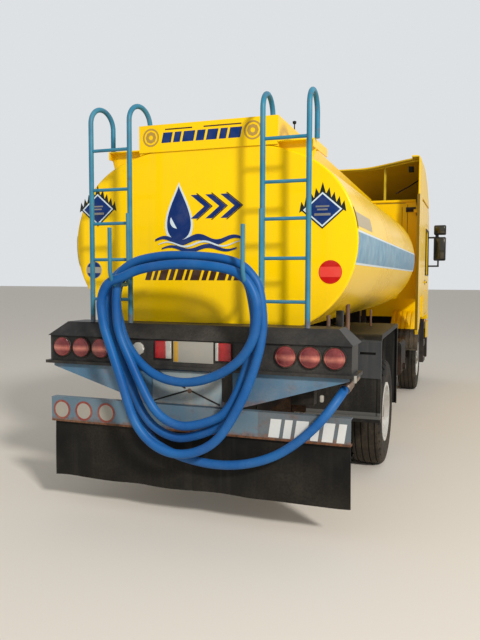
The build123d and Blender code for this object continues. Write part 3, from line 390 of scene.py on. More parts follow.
def finishOf(name, look):
    # look: colour, roughness and, where wanted, shade, shadeScale, zones, painted shade under an arch,
    # metallic, specular, coat,
    # rust (edge, reach, spots), streaks (streakColour), dust (dustColour, top, patch), grain (grainScale),
    # dent (dentScale), bump and bumpDepth
    material, tree, shader = newMaterial(name)
    colour = look["colour"]
    masks = []
    if look.get("shade"):  # a slow change of tone over the surface
        coords = objectCoords(tree, (-1500, 500))
        slow = noiseNode(tree, (-1300, 500), coords, look.get("shadeScale", 2.0), 3.0)
        tone = spread(tree, (-1100, 500), slow, 0.3, 0.7)
        colour = mixColour(tree, (-950, 400), tone, colour, look["shade"])
    for low, high, zoneColour in look.get("zones", []):  # boxes of space painted in another colour: two-tone paint, rust, and painted shade
        colour = mixColour(tree, (-900, 300), zoneMask(tree, low, high), colour, zoneColour)
    if look.get("archShade"):  # painted shade on the inside of an arched shell along X
        centre, radius, halfWidth, archShadeColour = look["archShade"]
        colour = mixColour(tree, (-850, 500), archShadeMask(tree, centre, radius, halfWidth), colour, archShadeColour)
    wear = [  # the key of its strength, its group, and the inputs that it has alone
        ("rust", rustBloom, {"Edge Level": look.get("edge", 0.0), "Reach": look.get("reach", 0.05),
                             "Spots": look.get("spots", 0.3)}),
        ("streaks", rainStreaks, {"Streak": look.get("streakColour", screen(150, 128, 92))}),
        ("dust", roadDust, {"Dust": look.get("dustColour", screen(176, 158, 132)),
                            "Top": look.get("top", 1.2), "Patch Size": look.get("patch", 3.0)}),
    ]
    for number, (key, group, inputs) in enumerate(wear):
        if look.get(key):
            place = (200 * number - 800, 300)
            stage = addGroup(tree, group, place, {"Paint": colour, "Amount": look[key], **inputs})
            colour = stage["Color"]
            masks.append(stage["Mask"])
    feed(tree, shader.inputs["Base Color"], colour)
    rough = look["roughness"]
    for number, mask in enumerate(masks):
        extra = mathNode(tree, (-250 + 60 * number, -200), "MULTIPLY", mask,
                         max(0.0, 0.92 - look["roughness"]) / len(masks))
        rough = mathNode(tree, (-200 + 60 * number, -100), "ADD", rough, extra)
    feed(tree, shader.inputs["Roughness"], rough)
    shader.inputs["Metallic"].default_value = look.get("metallic", 0.0)
    shader.inputs["Coat Weight"].default_value = look.get("coat", 0.0)
    shader.inputs["Coat Roughness"].default_value = 0.12
    shader.inputs["Specular IOR Level"].default_value = look.get("specular", 0.4)
    if look.get("grain") or look.get("dent"):
        skin = addGroup(tree, paintSkin, (-600, -450), {
            "Grain Scale": look.get("grainScale", 90.0), "Grain": look.get("grain", 0.0),
            "Dent Scale": look.get("dentScale", 1.5), "Dent": look.get("dent", 0.0)})
        bump = addNode(tree, "ShaderNodeBump", (-250, -450), {
            "Height": skin["Height"], "Strength": look.get("bump", 0.4),
            "Distance": look.get("bumpDepth", 0.01)})
        feed(tree, shader.inputs["Normal"], bump.outputs["Normal"])
    return material


yellowPaint = {
    "colour": screen(250, 204, 0), "specular": 0.08, "roughness": 0.26, "coat": 0.06, "dust": 0.07,
    "top": 1.5, "patch": 2.0, "streaks": 0.07, "grain": 0.02, "bump": 0.2}
looks = {
    "tankYellow": {
        "colour": screen(252, 206, 0), "specular": 0.12, "roughness": 0.24, "coat": 0.12, "dust": 0.22,
        "top": 2.0, "patch": 1.1, "streaks": 0.12, "dustColour": screen(190, 142, 44), "dent": 1.0,
        "dentScale": 1.1, "grain": 0.01, "bump": 0.35, "bumpDepth": 0.05},
    "cabYellow": {**yellowPaint, "dustColour": screen(196, 154, 60), "dent": 0.2},
    "ladderBlue": {
        "colour": screen(30, 108, 138), "shade": screen(58, 128, 152), "shadeScale": 5.0, "specular": 0.2,
        "roughness": 0.38, "rust": 0.5, "spots": 0.55, "edge": 1.58, "reach": 0.06, "dust": 0.08, "top": 2.6,
        "grain": 0.25, "grainScale": 130.0, "bump": 0.35, "bumpDepth": 0.004},
    "hoseBlue": {
        "colour": screen(8, 74, 138), "shade": screen(20, 92, 154), "shadeScale": 3.0, "specular": 0.2,
        "roughness": 0.42, "dust": 0.12, "top": 1.3, "patch": 5.0, "dustColour": screen(110, 140, 170),
        "grain": 0.2, "grainScale": 160.0, "bump": 0.3, "bumpDepth": 0.003},
    "boxBlack": {
        "colour": screen(20, 21, 23), "shade": screen(32, 33, 34), "shadeScale": 1.4, "specular": 0.2,
        "roughness": 0.42, "streaks": 0.35, "streakColour": screen(96, 92, 86), "dust": 0.22, "top": 1.9,
        "patch": 2.4, "dustColour": screen(122, 114, 104), "dent": 0.5, "dentScale": 2.2, "grain": 0.05,
        "bump": 0.4, "bumpDepth": 0.02},
    "plateBlueGrey": {
        "colour": screen(58, 96, 124), "shade": screen(88, 124, 148), "shadeScale": 2.6, "specular": 0.2,
        "roughness": 0.45, "rust": 0.4, "edge": 0.98, "reach": 0.05, "spots": 0.25, "streaks": 0.4,
        "streakColour": screen(150, 142, 132), "dust": 0.25, "top": 1.3, "dent": 0.4, "dentScale": 2.0,
        "grain": 0.06, "bump": 0.4, "bumpDepth": 0.02},
    "barGrey": {
        "zones": [((0.56, -4.2, 0.7), (1.3, -4.0, 0.95), screen(86, 98, 106)),
                  ((-2, -4.2, 0.7), (2, -4.0, 0.749), screen(64, 40, 28))],
        "colour": screen(76, 106, 124), "shade": screen(100, 120, 132), "shadeScale": 2.2, "specular": 0.2,
        "roughness": 0.5, "rust": 0.55, "edge": 0.733, "reach": 0.055, "spots": 0.2, "streaks": 0.28,
        "streakColour": screen(132, 122, 110), "dust": 0.12, "top": 1.1, "dent": 0.5, "dentScale": 2.4,
        "grain": 0.08, "bump": 0.4, "bumpDepth": 0.015},
    "rubberFlap": {
        "colour": screen(11, 11, 11), "shade": screen(20, 21, 20), "shadeScale": 1.6, "specular": 0.12,
        "roughness": 0.6, "dust": 0.1, "top": 0.6, "patch": 2.0, "dustColour": screen(120, 108, 92),
        "streaks": 0.2, "streakColour": screen(84, 78, 70), "grain": 0.3, "grainScale": 200.0, "bump": 0.3,
        "bumpDepth": 0.003},
    "chassisDark": {
        "colour": screen(9, 9, 10), "shade": screen(16, 16, 16), "specular": 0.15, "roughness": 0.55,
        "rust": 0.12, "edge": 0.6, "reach": 0.3, "spots": 0.3, "dust": 0.08, "top": 1.5, "patch": 4.0,
        "dustColour": screen(128, 114, 96), "grain": 0.2, "bump": 0.4, "bumpDepth": 0.004},
    "castIron": {
        "colour": screen(22, 21, 21), "specular": 0.2, "roughness": 0.62, "rust": 0.35, "edge": 0.5,
        "reach": 0.4, "spots": 0.7, "dust": 0.18, "top": 1.0, "patch": 5.0, "grain": 0.8, "grainScale": 120.0,
        "bump": 0.6, "bumpDepth": 0.004},
    "rustBrown": {
        "colour": screen(104, 74, 58), "shade": screen(70, 48, 38), "shadeScale": 9.0, "specular": 0.3,
        "roughness": 0.5, "rust": 0.4, "edge": 1.4, "reach": 0.1, "spots": 0.6, "dust": 0.15, "top": 2.0,
        "patch": 5.0},
    "guardDark": {
        "colour": screen(12, 13, 14), "shade": screen(22, 23, 23), "shadeScale": 1.5, "specular": 0.12,
        "roughness": 0.45, "dust": 0.08, "top": 1.7,
        # rear panels: grey from 1.0 to 1.36 m and a lighter strip along the bottom edge; the near black
        # between them is painted shade of the recess
        "zones": [((-2, -3, 1.0), (2, -2.585, 1.36), screen(54, 58, 62)),
                  ((-2, -3, 0.622), (2, -2.5, 0.68), screen(84, 84, 82))],
        "patch": 2.2, "dustColour": screen(128, 120, 110), "streaks": 0.35,
        "streakColour": screen(110, 104, 96), "dent": 0.5, "dentScale": 2.0, "grain": 0.06, "bump": 0.35,
        "bumpDepth": 0.02},
    "guardFront": {
        "colour": screen(248, 203, 0), "roughness": 0.32, "coat": 0.2, "specular": 0.22, "dust": 0.2,
        "top": 1.4, "patch": 3.0, "zones": [((-2, 0, 0), (2, 4, 1.09), screen(22, 22, 23))], "grain": 0.05,
        "bump": 0.2},
    # painted shade: the fins' rear edge strips are painted dark olive
    "finYellow": {
        **yellowPaint, "zones": [((-2, 1.6, 1.0), (2, 1.628, 3.23), screen(122, 94, 6))], "dent": 0.2},
    # painted shade: the deflector's inner faces, near the rear and under its arch, are painted olive
    "deflectorYellow": {
        **yellowPaint, "roughness": 0.3,
        "zones": [((-1.242, 1.6, 3.0), (1.242, 2.2, 3.777), screen(196, 172, 38))],
        "archShade": ((2.234, 1.0385), 2.74, 1.242, screen(196, 172, 38))},
    "bumperYellow": {
        **yellowPaint, "roughness": 0.3, "dust": 0.1, "top": 1.2,
        "zones": [((-2, 3.9, 0.3), (2, 4.6, 0.805), screen(20, 20, 21))]},
    "blockWhite": {
        "colour": screen(204, 205, 202), "specular": 0.2, "roughness": 0.4, "dust": 0.1, "top": 1.2,
        "patch": 9.0, "streaks": 0.15},
    "tyreRubber": {
        "colour": screen(12, 12, 12), "shade": screen(21, 20, 19), "shadeScale": 5.0, "specular": 0.2,
        "roughness": 0.72, "dust": 0.13, "top": 1.0, "patch": 6.0, "dustColour": screen(140, 124, 102),
        "grain": 0.4, "grainScale": 220.0, "bump": 0.4, "bumpDepth": 0.003},
    "rimSilver": {
        "colour": screen(222, 222, 218), "roughness": 0.34, "metallic": 0.25, "rust": 0.3, "edge": 0.54,
        "reach": 0.2, "spots": 0.35, "dust": 0.22, "top": 1.2, "patch": 6.0,
        "dustColour": screen(150, 134, 110), "grain": 0.15, "bump": 0.3, "bumpDepth": 0.004},
    "steelWorn": {
        "colour": screen(150, 148, 142), "roughness": 0.4, "metallic": 0.8, "rust": 0.55, "edge": 1.1,
        "reach": 0.2, "spots": 0.6, "dust": 0.3, "top": 1.6, "grain": 0.2, "bump": 0.3, "bumpDepth": 0.003},
    "chromeRing": {
        "colour": screen(205, 205, 205), "roughness": 0.16, "metallic": 1.0, "dust": 0.2, "top": 1.8,
        "patch": 9.0},
    "plasticBlack": {
        "colour": screen(18, 18, 19), "specular": 0.25, "roughness": 0.45, "dust": 0.08, "top": 1.8,
        "patch": 5.0, "grain": 0.4, "grainScale": 260.0, "bump": 0.25, "bumpDepth": 0.002},
    "signWhite": {
        "colour": screen(150, 147, 138), "roughness": 0.4, "dust": 0.2, "top": 1.6, "patch": 9.0,
        "streaks": 0.2},
    "signRed": {
        "colour": screen(124, 20, 20), "roughness": 0.4, "dust": 0.25, "top": 1.5, "patch": 9.0},
    "brightRed": {
        "colour": screen(190, 0, 4), "specular": 0.12, "roughness": 0.35, "dust": 0.08, "top": 2.6,
        "patch": 9.0},
    "paleRed": {
        "colour": screen(226, 62, 52), "specular": 0.2, "roughness": 0.4, "dust": 0.1, "top": 2.6,
        "patch": 9.0},
    "decalInk": {
        "colour": screen(22, 34, 34), "specular": 0.2, "roughness": 0.4, "dust": 0.06, "top": 2.6,
        "patch": 9.0},
    "panelPale": {
        "colour": screen(112, 138, 150), "shade": screen(142, 152, 152), "shadeScale": 3.4, "specular": 0.25,
        "roughness": 0.45, "rust": 0.35, "edge": 0.94, "reach": 0.03, "spots": 0.2, "streaks": 0.4,
        "streakColour": screen(176, 166, 150), "dust": 0.3, "top": 1.3, "dent": 0.5, "dentScale": 3.0,
        "grain": 0.06, "bump": 0.4, "bumpDepth": 0.02},
    "decalBlue": {
        "colour": screen(8, 40, 100), "shade": screen(12, 52, 112), "specular": 0.15, "roughness": 0.35,
        "dust": 0.06, "top": 2.6, "patch": 8.0},
    "decalPale": {
        "colour": screen(206, 220, 226), "roughness": 0.4, "dust": 0.12, "top": 2.6, "patch": 8.0},
    "bannerBlue": {
        "colour": screen(76, 126, 158), "shade": screen(130, 166, 184), "shadeScale": 7.0, "specular": 0.25,
        "roughness": 0.4, "dust": 0.22, "top": 2.8, "patch": 3.0, "dustColour": screen(188, 184, 168)},
    "decalSand": {
        "colour": screen(176, 164, 136), "roughness": 0.5, "dust": 0.25, "top": 2.8, "patch": 6.0},
    "decalBrown": {
        "colour": screen(52, 26, 18), "specular": 0.25, "roughness": 0.4, "dust": 0.15, "top": 2.4,
        "patch": 8.0},
    "plateYellow": {
        "colour": screen(176, 134, 24), "roughness": 0.4, "dust": 0.2, "top": 1.7, "patch": 9.0},
    "bronze": {
        "colour": screen(176, 140, 62), "roughness": 0.45, "specular": 0.25, "dust": 0.1, "top": 2.6,
        "patch": 8.0},
    "lampDark": {
        "colour": screen(14, 14, 15), "specular": 0.25, "roughness": 0.5, "dust": 0.15, "top": 1.7,
        "patch": 8.0},
    "seatCloth": {
        "colour": screen(60, 62, 68), "shade": screen(78, 80, 86), "shadeScale": 40.0, "roughness": 0.85,
        "dust": 0.05, "grain": 1.0, "grainScale": 420.0, "bump": 0.5, "bumpDepth": 0.002},
    # mirror panes: darkened and tinted brown as a painted reflection of dark surroundings
    "mirrorGlass": {
        "colour": screen(74, 72, 64), "roughness": 0.1, "metallic": 1.0, "dust": 0.08, "top": 3.2,
        "patch": 7.0},
}
finishes = {name: finishOf(name, look) for name, look in looks.items()}


def lensFinish(name, colour, glow, ribScale, dust, band=None):  # a coloured lens with moulded ribs and, where given, a painted reflection band
    material, tree, shader = newMaterial(name)
    coords = objectCoords(tree, (-1200, 0))
    tone = spread(tree, (-800, 200), noiseNode(tree, (-1000, 200), coords, 9.0, 3.0), 0.35, 0.7)
    paint = mixColour(tree, (-600, 200), tone, colour, glow)
    if band:  # height, reach and colour of a painted reflection: a light band across the lens
        level, reach, reflectionColour = band
        height = addNode(tree, "ShaderNodeSeparateXYZ", (-1000, 500), {0: coords}).outputs["Z"]
        away = mathNode(tree, (-800, 500), "ABSOLUTE", mathNode(tree, (-900, 500), "SUBTRACT", height, level))
        # random patches in the painted reflection's strength
        worn = spread(tree, (-700, 350), tone, 0.0, 1.0, 0.35, 1.0)
        near = mathNode(tree, (-600, 500), "MULTIPLY", spread(tree, (-700, 500), away, reach, 0.0), worn)
        paint = mixColour(tree, (-450, 350), near, paint, reflectionColour)
    dusty = addGroup(tree, roadDust, (-350, 200),
                     {"Paint": paint, "Amount": dust, "Top": 1.6, "Patch Size": 9.0})
    feed(tree, shader.inputs["Base Color"], dusty["Color"])
    rough = mathNode(tree, (-200, -100), "MULTIPLY_ADD", dusty["Mask"], 0.5, 0.12)
    feed(tree, shader.inputs["Roughness"], rough)
    shader.inputs["Coat Weight"].default_value = 0.25
    shader.inputs["Coat Roughness"].default_value = 0.05
    ribs = addNode(tree, "ShaderNodeTexWave", (-700, -350),
                   {"Vector": coords, "Scale": ribScale, "Distortion": 0.0},
                   wave_type="BANDS", bands_direction="Z")
    bump = addNode(tree, "ShaderNodeBump", (-300, -350),
                   {"Height": ribs.outputs["Fac"], "Strength": 0.35, "Distance": 0.003})
    feed(tree, shader.inputs["Normal"], bump.outputs["Normal"])
    return material


def glassFinish(name, colour, roughness, weight):
    material, tree, shader = newMaterial(name)
    dusty = addGroup(tree, roadDust, (-350, 200),
                     {"Paint": colour, "Amount": 0.16, "Top": 2.2, "Patch Size": 3.0})
    feed(tree, shader.inputs["Base Color"], dusty["Color"])
    rough = mathNode(tree, (-200, -100), "MULTIPLY_ADD", dusty["Mask"], 0.4, roughness)
    feed(tree, shader.inputs["Roughness"], rough)
    shader.inputs["Transmission Weight"].default_value = weight
    shader.inputs["IOR"].default_value = 1.45
    return material


lensLooks = {  # colour, glow, rib scale, dust and, where wanted, the band of painted reflection across the lens
    "lensRed": (screen(92, 12, 20), screen(130, 30, 36), 55.0, 0.1, (1.352, 0.028, screen(218, 132, 112))),
    "lensBright": (screen(134, 2, 5), screen(176, 8, 12), 40.0, 0.04),
    "lensClear": (screen(160, 158, 150), screen(190, 188, 178), 50.0, 0.24),
    "lensAmber": (screen(214, 120, 20), screen(236, 150, 50), 50.0, 0.16),
}
for name, look in lensLooks.items():
    finishes[name] = lensFinish(name, *look)
finishes["screenGlass"] = glassFinish("screenGlass", screen(150, 176, 178), 0.03, 0.85)
print("finishes made:", len(finishes))


# Camera, lights and floor

camera = {"place": (2.022, -8.58, 1.924), "yaw": 0.344, "pitch": -0.065, "roll": 0.003, "lens": 36.21,
          "sensor": 36.0, "reach": 400.0}
light = {"towards": (0.0, -1.0, 1.6), "from": (0.588, -0.684, 0.433), "distance": 22.0, "size": 2.4,
         "power": 3750.0, "tint": (1.0, 0.975, 0.94), "fill": 0.52, "fillTint": (0.94, 0.97, 1.0, 1),
         "backdrop": screen(222, 225, 228), "floor": screen(224, 216, 204), "floorSize": 220}


def addCamera():
    lens = bpy.data.cameras.new("photoCamera")
    lens.lens = camera["lens"]
    lens.sensor_width = camera["sensor"]
    lens.clip_end = camera["reach"]
    viewer = addObject("photoCamera", lens)
    viewer.matrix_world = (
        Matrix.Translation(camera["place"])
        @ Matrix.Rotation(camera["yaw"], 4, "Z")
        @ Matrix.Rotation(math.pi / 2 + camera["pitch"], 4, "X")
        @ Matrix.Rotation(camera["roll"], 4, "Z")
    )
    bpy.context.scene.camera = viewer
    bpy.context.scene.view_settings.view_transform = "Standard"


def addKeyLight():
    lamp = bpy.data.lights.new("keyLight", "AREA")
    lamp.shape = "DISK"
    lamp.size = light["size"]
    lamp.energy = light["power"]
    lamp.color = light["tint"]
    holder = addObject("keyLight", lamp)
    direction = Vector(light["from"]).normalized()
    holder.location = Vector(light["towards"]) + direction * light["distance"]
    holder.rotation_mode = "QUATERNION"
    holder.rotation_quaternion = direction.to_track_quat("Z", "Y")


def addWorld():  # the object gets the fill, while the camera, glass and gloss see the pale backdrop
    world = bpy.data.worlds.new("studio")
    world.use_nodes = True
    bpy.context.scene.world = world
    tree = world.node_tree
    tree.nodes.clear()
    path = addNode(tree, "ShaderNodeLightPath", (-800, 200))
    clear = mathNode(tree, (-600, 200), "MAXIMUM", path.outputs["Is Camera Ray"],
                     path.outputs["Is Transmission Ray"])
    seen = mathNode(tree, (-450, 200), "MAXIMUM", clear, path.outputs["Is Glossy Ray"])
    fill = addNode(tree, "ShaderNodeBackground", (-300, 0),
                   {"Color": light["fillTint"], "Strength": light["fill"]})
    backdrop = addNode(tree, "ShaderNodeBackground", (-300, -200),
                       {"Color": light["backdrop"], "Strength": 1.0})
    mix = addNode(tree, "ShaderNodeMixShader", (0, 0), {0: seen, 1: fill.outputs[0], 2: backdrop.outputs[0]})
    out = addNode(tree, "ShaderNodeOutputWorld", (200, 0))
    tree.links.new(mix.outputs[0], out.inputs["Surface"])


def addFloor():
    bpy.ops.mesh.primitive_plane_add(size=light["floorSize"], location=(0, 0, 0))
    floor = bpy.context.active_object
    floor.name = "studioFloor"
    applyTransform(floor)
    look = {"colour": light["floor"], "roughness": 0.9, "grain": 0.3, "grainScale": 12.0, "bump": 0.1}
    floor.data.materials.append(finishOf("studioFloor", look))


deselectAll()
addCamera()
addKeyLight()
addWorld()
addFloor()
print("camera, lights and floor set")


# The hose: one run from the outlet's coupling, along the bar, then four loose turns over the hooks

hose = {
    "diameter": 0.068, "length": 19.3,
    "coupling": [(-0.05, 0.0345), (-0.05, 0.039), (0.004, 0.039), (0.006, 0.034), (0.02, 0.034),
                 (0.022, 0.041), (0.062, 0.041), (0.064, 0.037), (0.078, 0.037), (0.078, 0.028),
                 (0.01, 0.028), (0.01, 0.0)],
    "ferrule": [(-0.034, 0.0345), (-0.034, 0.04), (-0.028, 0.042), (-0.022, 0.038), (-0.016, 0.042),
                (-0.008, 0.042), (-0.006, 0.044), (0.0, 0.044), (0.0, 0.0)],
    "stretches": ("toFirstTurn", "firstTurn", "secondTurn", "thirdTurn", "lastTurn", "toTheEnd"),
    "toFirstTurn": [  # from the outlet's coupling down, along under the bar, and up the left side
        (1.188, -3.96, 1.136), (1.171, -4.036, 1.101), (1.141, -4.096, 1.049), (1.094, -4.14, 0.975),
        (1.018, -4.17, 0.88), (0.898, -4.174, 0.765), (0.745, -4.172, 0.65), (0.565, -4.172, 0.572),
        (0.365, -4.174, 0.53), (0.16, -4.172, 0.528), (-0.04, -4.17, 0.56), (-0.215, -4.168, 0.618),
        (-0.345, -4.167, 0.735), (-0.425, -4.166, 0.9), (-0.485, -4.166, 1.08), (-0.545, -4.166, 1.25),
        (-0.605, -4.166, 1.4), (-0.655, -4.166, 1.53), (-0.684, -4.166, 1.64)],
    "firstTurn": [
        (-0.695, -4.165, 1.733), (-0.681, -4.165, 1.812), (-0.638, -4.165, 1.894), (-0.54, -4.165, 1.98),
        (-0.425, -4.165, 2.049), (-0.291, -4.165, 2.078), (-0.122, -4.165, 2.096), (0.22, -4.165, 2.08),
        (0.369, -4.165, 2.052), (0.466, -4.165, 2.012), (0.528, -4.165, 1.95), (0.559, -4.165, 1.864),
        (0.585, -4.165, 1.659), (0.584, -4.166, 1.55), (0.564, -4.167, 1.419), (0.53, -4.17, 1.29),
        (0.486, -4.173, 1.163), (0.433, -4.177, 1.037), (0.368, -4.182, 0.915), (0.278, -4.187, 0.806),
        (0.01, -4.197, 0.705), (-0.135, -4.203, 0.724), (-0.259, -4.208, 0.791), (-0.347, -4.213, 0.897),
        (-0.403, -4.218, 1.024), (-0.453, -4.223, 1.154), (-0.503, -4.227, 1.285), (-0.558, -4.23, 1.414),
        (-0.602, -4.233, 1.547), (-0.616, -4.234, 1.686)],
    "secondTurn": [
        (-0.613, -4.235, 1.736), (-0.604, -4.235, 1.814), (-0.574, -4.235, 1.895), (-0.491, -4.235, 1.926),
        (-0.391, -4.235, 1.975), (-0.255, -4.235, 2.005), (-0.089, -4.235, 2.025), (0.248, -4.235, 2.011),
        (0.373, -4.235, 1.989), (0.457, -4.235, 1.957), (0.518, -4.235, 1.907), (0.545, -4.235, 1.833),
        (0.578, -4.235, 1.662), (0.576, -4.236, 1.555), (0.56, -4.237, 1.438), (0.531, -4.24, 1.323),
        (0.493, -4.243, 1.209), (0.45, -4.247, 1.096), (0.394, -4.252, 0.987), (0.31, -4.257, 0.895),
        (0.066, -4.267, 0.816), (-0.062, -4.273, 0.834), (-0.17, -4.278, 0.895), (-0.245, -4.283, 0.991),
        (-0.302, -4.288, 1.101), (-0.357, -4.293, 1.212), (-0.407, -4.297, 1.325), (-0.463, -4.3, 1.437),
        (-0.5, -4.303, 1.556), (-0.505, -4.304, 1.68)],
    "thirdTurn": [
        (-0.507, -4.305, 1.74), (-0.504, -4.305, 1.816), (-0.495, -4.305, 1.896), (-0.458, -4.305, 1.978),
        (-0.347, -4.305, 2.045), (-0.218, -4.305, 2.073), (-0.054, -4.305, 2.091), (0.277, -4.305, 2.075),
        (0.422, -4.305, 2.048), (0.515, -4.305, 2.009), (0.575, -4.305, 1.949), (0.634, -4.305, 1.866),
        (0.659, -4.305, 1.668), (0.659, -4.306, 1.563), (0.638, -4.307, 1.425), (0.599, -4.31, 1.288),
        (0.552, -4.313, 1.153), (0.492, -4.317, 1.021), (0.421, -4.322, 0.891), (0.329, -4.327, 0.756),
        (0.204, -4.332, 0.668), (0.051, -4.337, 0.622), (-0.103, -4.343, 0.64), (-0.238, -4.348, 0.72),
        (-0.335, -4.353, 0.846), (-0.387, -4.358, 0.991), (-0.429, -4.363, 1.134), (-0.477, -4.367, 1.275),
        (-0.527, -4.37, 1.416), (-0.577, -4.373, 1.557), (-0.598, -4.374, 1.704)],
    "lastTurn": [
        (-0.596, -4.375, 1.741), (-0.58, -4.375, 1.817), (-0.529, -4.375, 1.896), (-0.41, -4.375, 1.926),
        (-0.313, -4.375, 1.974), (-0.182, -4.375, 2.003), (-0.021, -4.375, 2.022), (0.137, -4.375, 2.024),
        (0.305, -4.375, 2.008), (0.426, -4.375, 1.987), (0.507, -4.375, 1.956), (0.566, -4.375, 1.908),
        (0.609, -4.375, 1.836), (0.634, -4.375, 1.767), (0.641, -4.375, 1.671), (0.628, -4.372, 1.553),
        (0.584, -4.363, 1.447), (0.511, -4.35, 1.352), (0.412, -4.333, 1.274), (0.295, -4.314, 1.214),
        (0.166, -4.292, 1.169), (0.028, -4.27, 1.148), (-0.112, -4.248, 1.158), (-0.244, -4.226, 1.196),
        (-0.357, -4.207, 1.267), (-0.449, -4.19, 1.36), (-0.519, -4.177, 1.467), (-0.56, -4.168, 1.586)],
    "toTheEnd": [  # up inside the others and over the left hook, behind the turns
        (-0.592, -4.15, 1.69), (-0.612, -4.118, 1.78), (-0.604, -4.098, 1.868), (-0.562, -4.094, 1.94),
        (-0.492, -4.09, 1.988), (-0.4, -4.08, 2.012), (-0.3, -4.07, 2.018)],
}


def addHoseEnd(name, place, onward, outline):
    end = addRound(name, place, onward, outline, 32)
    return fitOut(end, "steelWorn", "root", "fitting_steel")


def addHose():
    route = [point for stretch in hose["stretches"] for point in hose[stretch]]
    curve = bpy.data.curves.new("hoseLine", "CURVE")
    curve.dimensions = "3D"
    spline = curve.splines.new("NURBS")
    spline.points.add(len(route) - 1)
    for target, place in zip(spline.points, route):
        target.co = (*place, 1)
    spline.order_u = 3
    spline.use_endpoint_u = True
    curve.resolution_u = 5
    curve.bevel_depth = hose["diameter"] / 2
    curve.bevel_resolution = 6
    curve.use_fill_caps = True
    line = addObject("hoseLine", curve)
    fitOut(line, "hoseBlue", "root", "hose_blue")
    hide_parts("hose_coil", "hose_tail")
    start, second = Vector(route[0]), Vector(route[1])
    beforeEnd, end = Vector(route[-2]), Vector(route[-1])
    cap = addHoseEnd("hoseEndCoupling", end, (end - beforeEnd).normalized(), hose["coupling"])
    ferrule = addHoseEnd("hoseStartFerrule", start, (start - second).normalized(), hose["ferrule"])
    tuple(route[0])


addHose()
print("hose laid")


# CAD nodes keep their shapes and get their finishes

nodeFinishes = {
    "tankYellow": ["tank", "walkway", "manhole_lid"],
    "cabYellow": ["cab_shell", "service_panel", "door_left", "door_right"],
    "bumperYellow": ["bumper"],
    "finYellow": ["side_fin_left", "side_fin_right"],
    "deflectorYellow": ["roof_deflector"],
    "guardFront": ["front_mudguard_left", "front_mudguard_right"],
    "ladderBlue": ["ladder_left", "ladder_right", "hose_hooks"],
    "boxBlack": ["light_box"],
    "plateBlueGrey": ["gusset_panel"],
    "barGrey": ["underrun_bar"],
    "chassisDark": ["chassis_frame", "springs", "tank_bearers", "drive_shaft", "air_tanks", "silencer",
                    "fuel_tank"],
    "castIron": ["engine_block", "front_axle", "rear_axle", "knuckle_left", "knuckle_right", "tow_socket"],
    "guardDark": ["rear_mudguard_left", "rear_mudguard_right"],
    "steelWorn": ["outlet_pipe"],
    "plasticBlack": ["mirror_left", "mirror_right", "dashboard", "steps_left", "steps_right"],
    "screenGlass": ["windscreen", "door_glass_left", "door_glass_right"],
    "lensClear": ["headlamps"],
    "seatCloth": ["seats", "bunk"],  # the padded pieces replace them below
    "rubberFlap": ["mud_flap"],
    "lensRed": ["rear_lamps"],
    "tyreRubber": ["tyre_front_left", "tyre_front_right", "tyres_rear_left", "tyres_rear_right"],
    "rimSilver": ["rim_front_left", "rim_front_right", "rims_rear_left", "rims_rear_right"],
}
for finish, names in nodeFinishes.items():
    for name in names:
        nodes[name].data.materials.clear()
        nodes[name].data.materials.append(finishes[finish])
print("CAD nodes finished")


# More modelling tools: flat outlines, bent skins and repeated fixings

def addShape(name, loops, depth, y):  # flat outlines in X and Z, inner loops being holes, with a thickness
    curve = bpy.data.curves.new(name, "CURVE")
    curve.dimensions = "2D"
    curve.fill_mode = "BOTH"
    curve.extrude = depth / 2
    for loop in loops:
        spline = curve.splines.new("POLY")
        spline.points.add(len(loop) - 1)
        for target, place in zip(spline.points, loop):
            target.co = (*place, 0, 1)
        spline.use_cyclic_u = True
    piece = convertToMesh(addObject(name, curve))
    piece.matrix_world = Matrix.Translation((0, y, 0)) @ Matrix.Rotation(math.pi / 2, 4, "X")
    applyTransform(piece)
    tidyShell(piece, 0.00001)
    return piece


def addSkin(name, columns, rows, place, thickness):  # a grid whose points place(u, v) puts in space
    bpy.ops.mesh.primitive_grid_add(x_subdivisions=columns, y_subdivisions=rows, size=1)
    piece = bpy.context.active_object
    piece.name = name
    for vertex in piece.data.vertices:
        vertex.co = place(vertex.co.x + 0.5, vertex.co.y + 0.5)
    applyModifier(piece, "SOLIDIFY", thickness=thickness, offset=0.0)
    smoothByAngle(piece, 40)
    return piece


def arcPoints(centre, radius, angles):
    return [(centre[0] + radius * math.cos(angle), centre[1] + radius * math.sin(angle)) for angle in angles]


def ringPoints(centre, radius, count):
    return arcPoints(centre, radius, [2 * math.pi * step / count for step in range(count)])


def slantedLoop(left, width, low, high, slant=0.0):
    return [(left, low), (left + width, low), (left + width + slant, high), (left + slant, high)]


def slantedRow(left, widths, gap, low, high, slant):  # blocks of these widths from left to right
    loops = []
    for width in widths:
        loops.append(slantedLoop(left, width, low, high, slant))
        left += width + gap
    return loops


def addMany(name, model, places):  # copies of one model joined into one piece; the model goes
    copies = [copyPiece(model, name, place) for place in places]
    bpy.data.objects.remove(model)
    return joinPieces(name, copies)


# Tyres: one tyre turned and notched, then copied to each wheel

